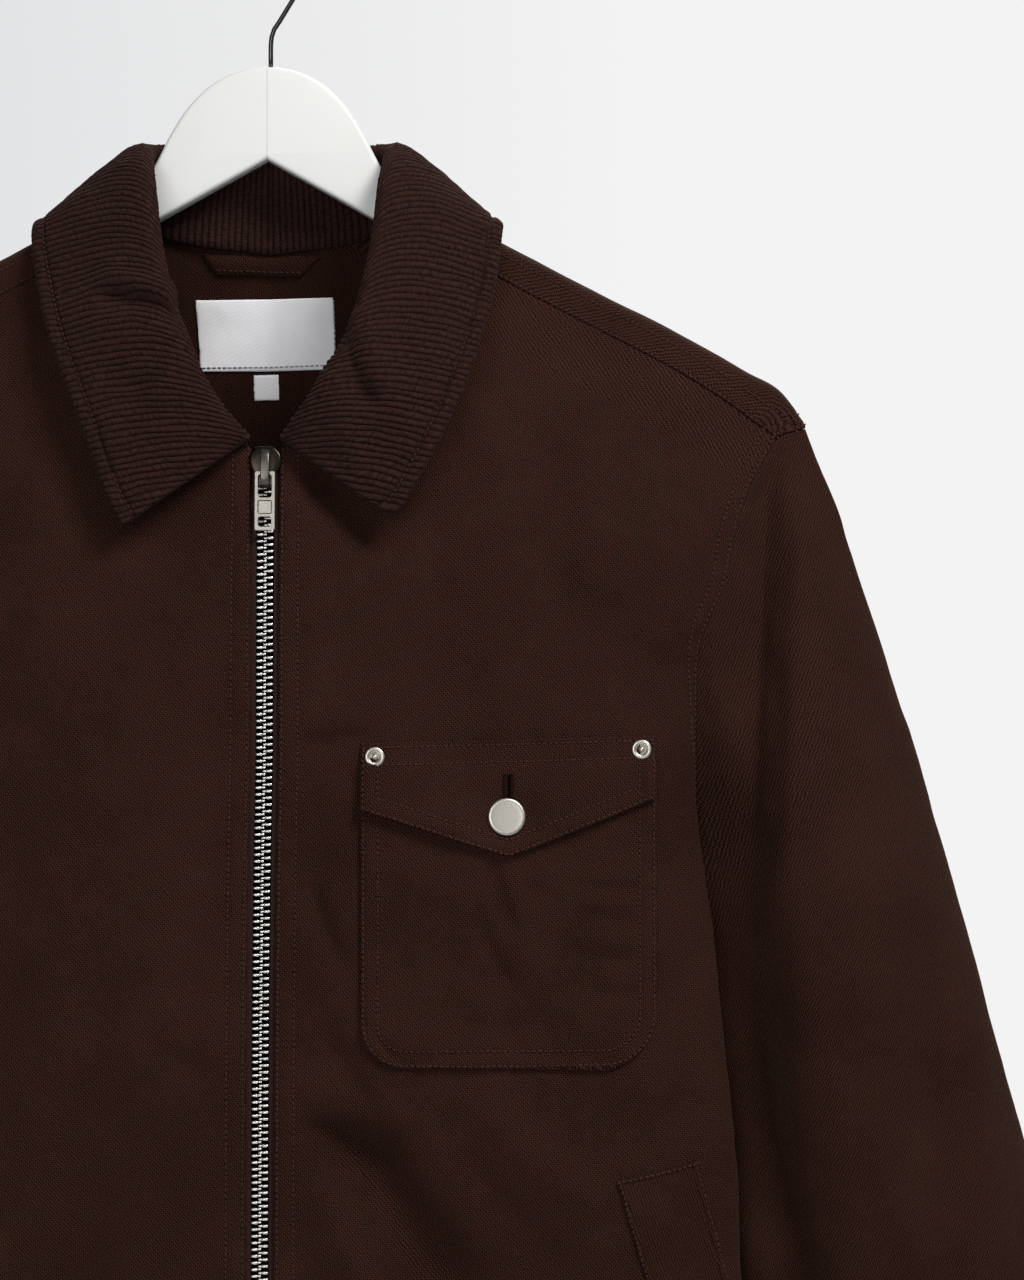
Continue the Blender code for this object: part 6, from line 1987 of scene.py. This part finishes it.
shown["hanger_hook"] = merge("hanger_hook_wire", [tube(rings)], steel)

# ---- what rides and what is replaced ----------------------------------------
SLOTS = {"canvas": ("front_left", "front_right", "back", "sleeve_left", "sleeve_right",
                    "chest_pocket", "chest_flap", "hand_welt_left", "hand_welt_right",
                    "neck_loop", "collar_under", "stitches", "needle_holes", "buttonhole",
                    "buttonhole_slit"),
         "corduroy": ("collar_top",), "zip_tape": ("zip_tape_left", "zip_tape_right"),
         "label": ("neck_label", "size_tab", "label_stitches"),
         "nickel": ("zip_chain", "zip_slider", "zip_bridge", "zip_pull", "zip_box",
                    "chest_button", "rivet_inner", "rivet_outer"),
         "steel": ("hanger_hook",), "white_paint": ("hanger_body",)}
for slot, names in SLOTS.items():
    for name in names:
        piece = shown[name]
        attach(piece, "pull" if name == "zip_pull" else "jacket")
        if name in frame["nodes"]:
            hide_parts(name)

# ---- stage, light and camera ------------------------------------------------
bm = bmesh.new()
bmesh.ops.create_grid(bm, x_segments=2, y_segments=2, size=2.6)
bmesh.ops.translate(bm, verts=bm.verts, vec=(0.1, 0.2, -1.65))
pale, tree, shader = surface("pale_floor", 0.7, 0.0, 0.3)
dye(tree, shader, noise_node(tree, object_place(tree), 2.0), (0.78, 0.79, 0.8),
    (0.82, 0.83, 0.84))
floor = add("floor", mesh_of("floor", bm), pale, smooth=False)
floor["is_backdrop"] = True

world = bpy.data.worlds.new("studio")
bpy.context.scene.world = world
world.use_nodes = True
tree = world.node_tree
tree.nodes.clear()
# Seen by the camera, the background is a painted light gradient, darker at the left and brighter
# at the right; other rays see an even glow.
way = wire(tree, "ShaderNodeTexCoord").outputs["Generated"]
x = wire(tree, "ShaderNodeSeparateXYZ", {0: way}).outputs[0]
share = wire(tree, "ShaderNodeMapRange", {"Value": x, "From Min": -0.16,
                                          "From Max": 0.04}).outputs[0]
painted_backdrop_light = blend_colour(tree, share, (0.76, 0.765, 0.775), (0.895, 0.895, 0.9))
wall = wire(tree, "ShaderNodeBackground", {"Color": painted_backdrop_light, "Strength": 1.0})
glow = wire(tree, "ShaderNodeBackground", {"Color": (0.95, 0.97, 1.0, 1), "Strength": 0.24})
ray = wire(tree, "ShaderNodeLightPath").outputs["Is Camera Ray"]
both = wire(tree, "ShaderNodeMixShader", {0: ray, 1: glow.outputs[0], 2: wall.outputs[0]})
wire(tree, "ShaderNodeOutputWorld", {"Surface": both.outputs[0]})


def lamp(name, place, at, size, power, colour):
    light = bpy.data.lights.new(name, "AREA")
    light.shape = "RECTANGLE"
    light.size = light.size_y = size
    light.energy = power
    light.color = colour
    made = linked(name, light)
    made.location = place
    made.rotation_euler = (Vector(at) - Vector(place)).to_track_quat("-Z", "Y").to_euler()
    return made


lamps = [lamp("key", (1.05, -1.2, 1.1), (0.1, 0, -0.4), 0.8, 40.0, (1.0, 0.985, 0.96)),
         lamp("fill", (-0.5, -2.2, -0.15), (0.0, 0, -0.3), 1.1, 15.5, (0.98, 0.985, 1.0)),
         lamp("rim", (0.35, 1.7, 1.3), (0.05, 0, -0.35), 1.0, 45.0, (1.0, 0.985, 0.96))]
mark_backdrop(*lamps)

eye = bpy.data.cameras.new("camera")
eye.lens = 96.9
eye.clip_end = 50.0
camera = linked("camera", eye)
camera.location = (0.1133, -1.6, -0.3372)
camera.rotation_euler = (math.pi / 2, 0, 0)
bpy.context.scene.camera = camera
bpy.context.scene.view_settings.view_transform = "Standard"

low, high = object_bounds()
{"cad": [list(cad_low), list(cad_high)], "shown": [list(low), list(high)]}
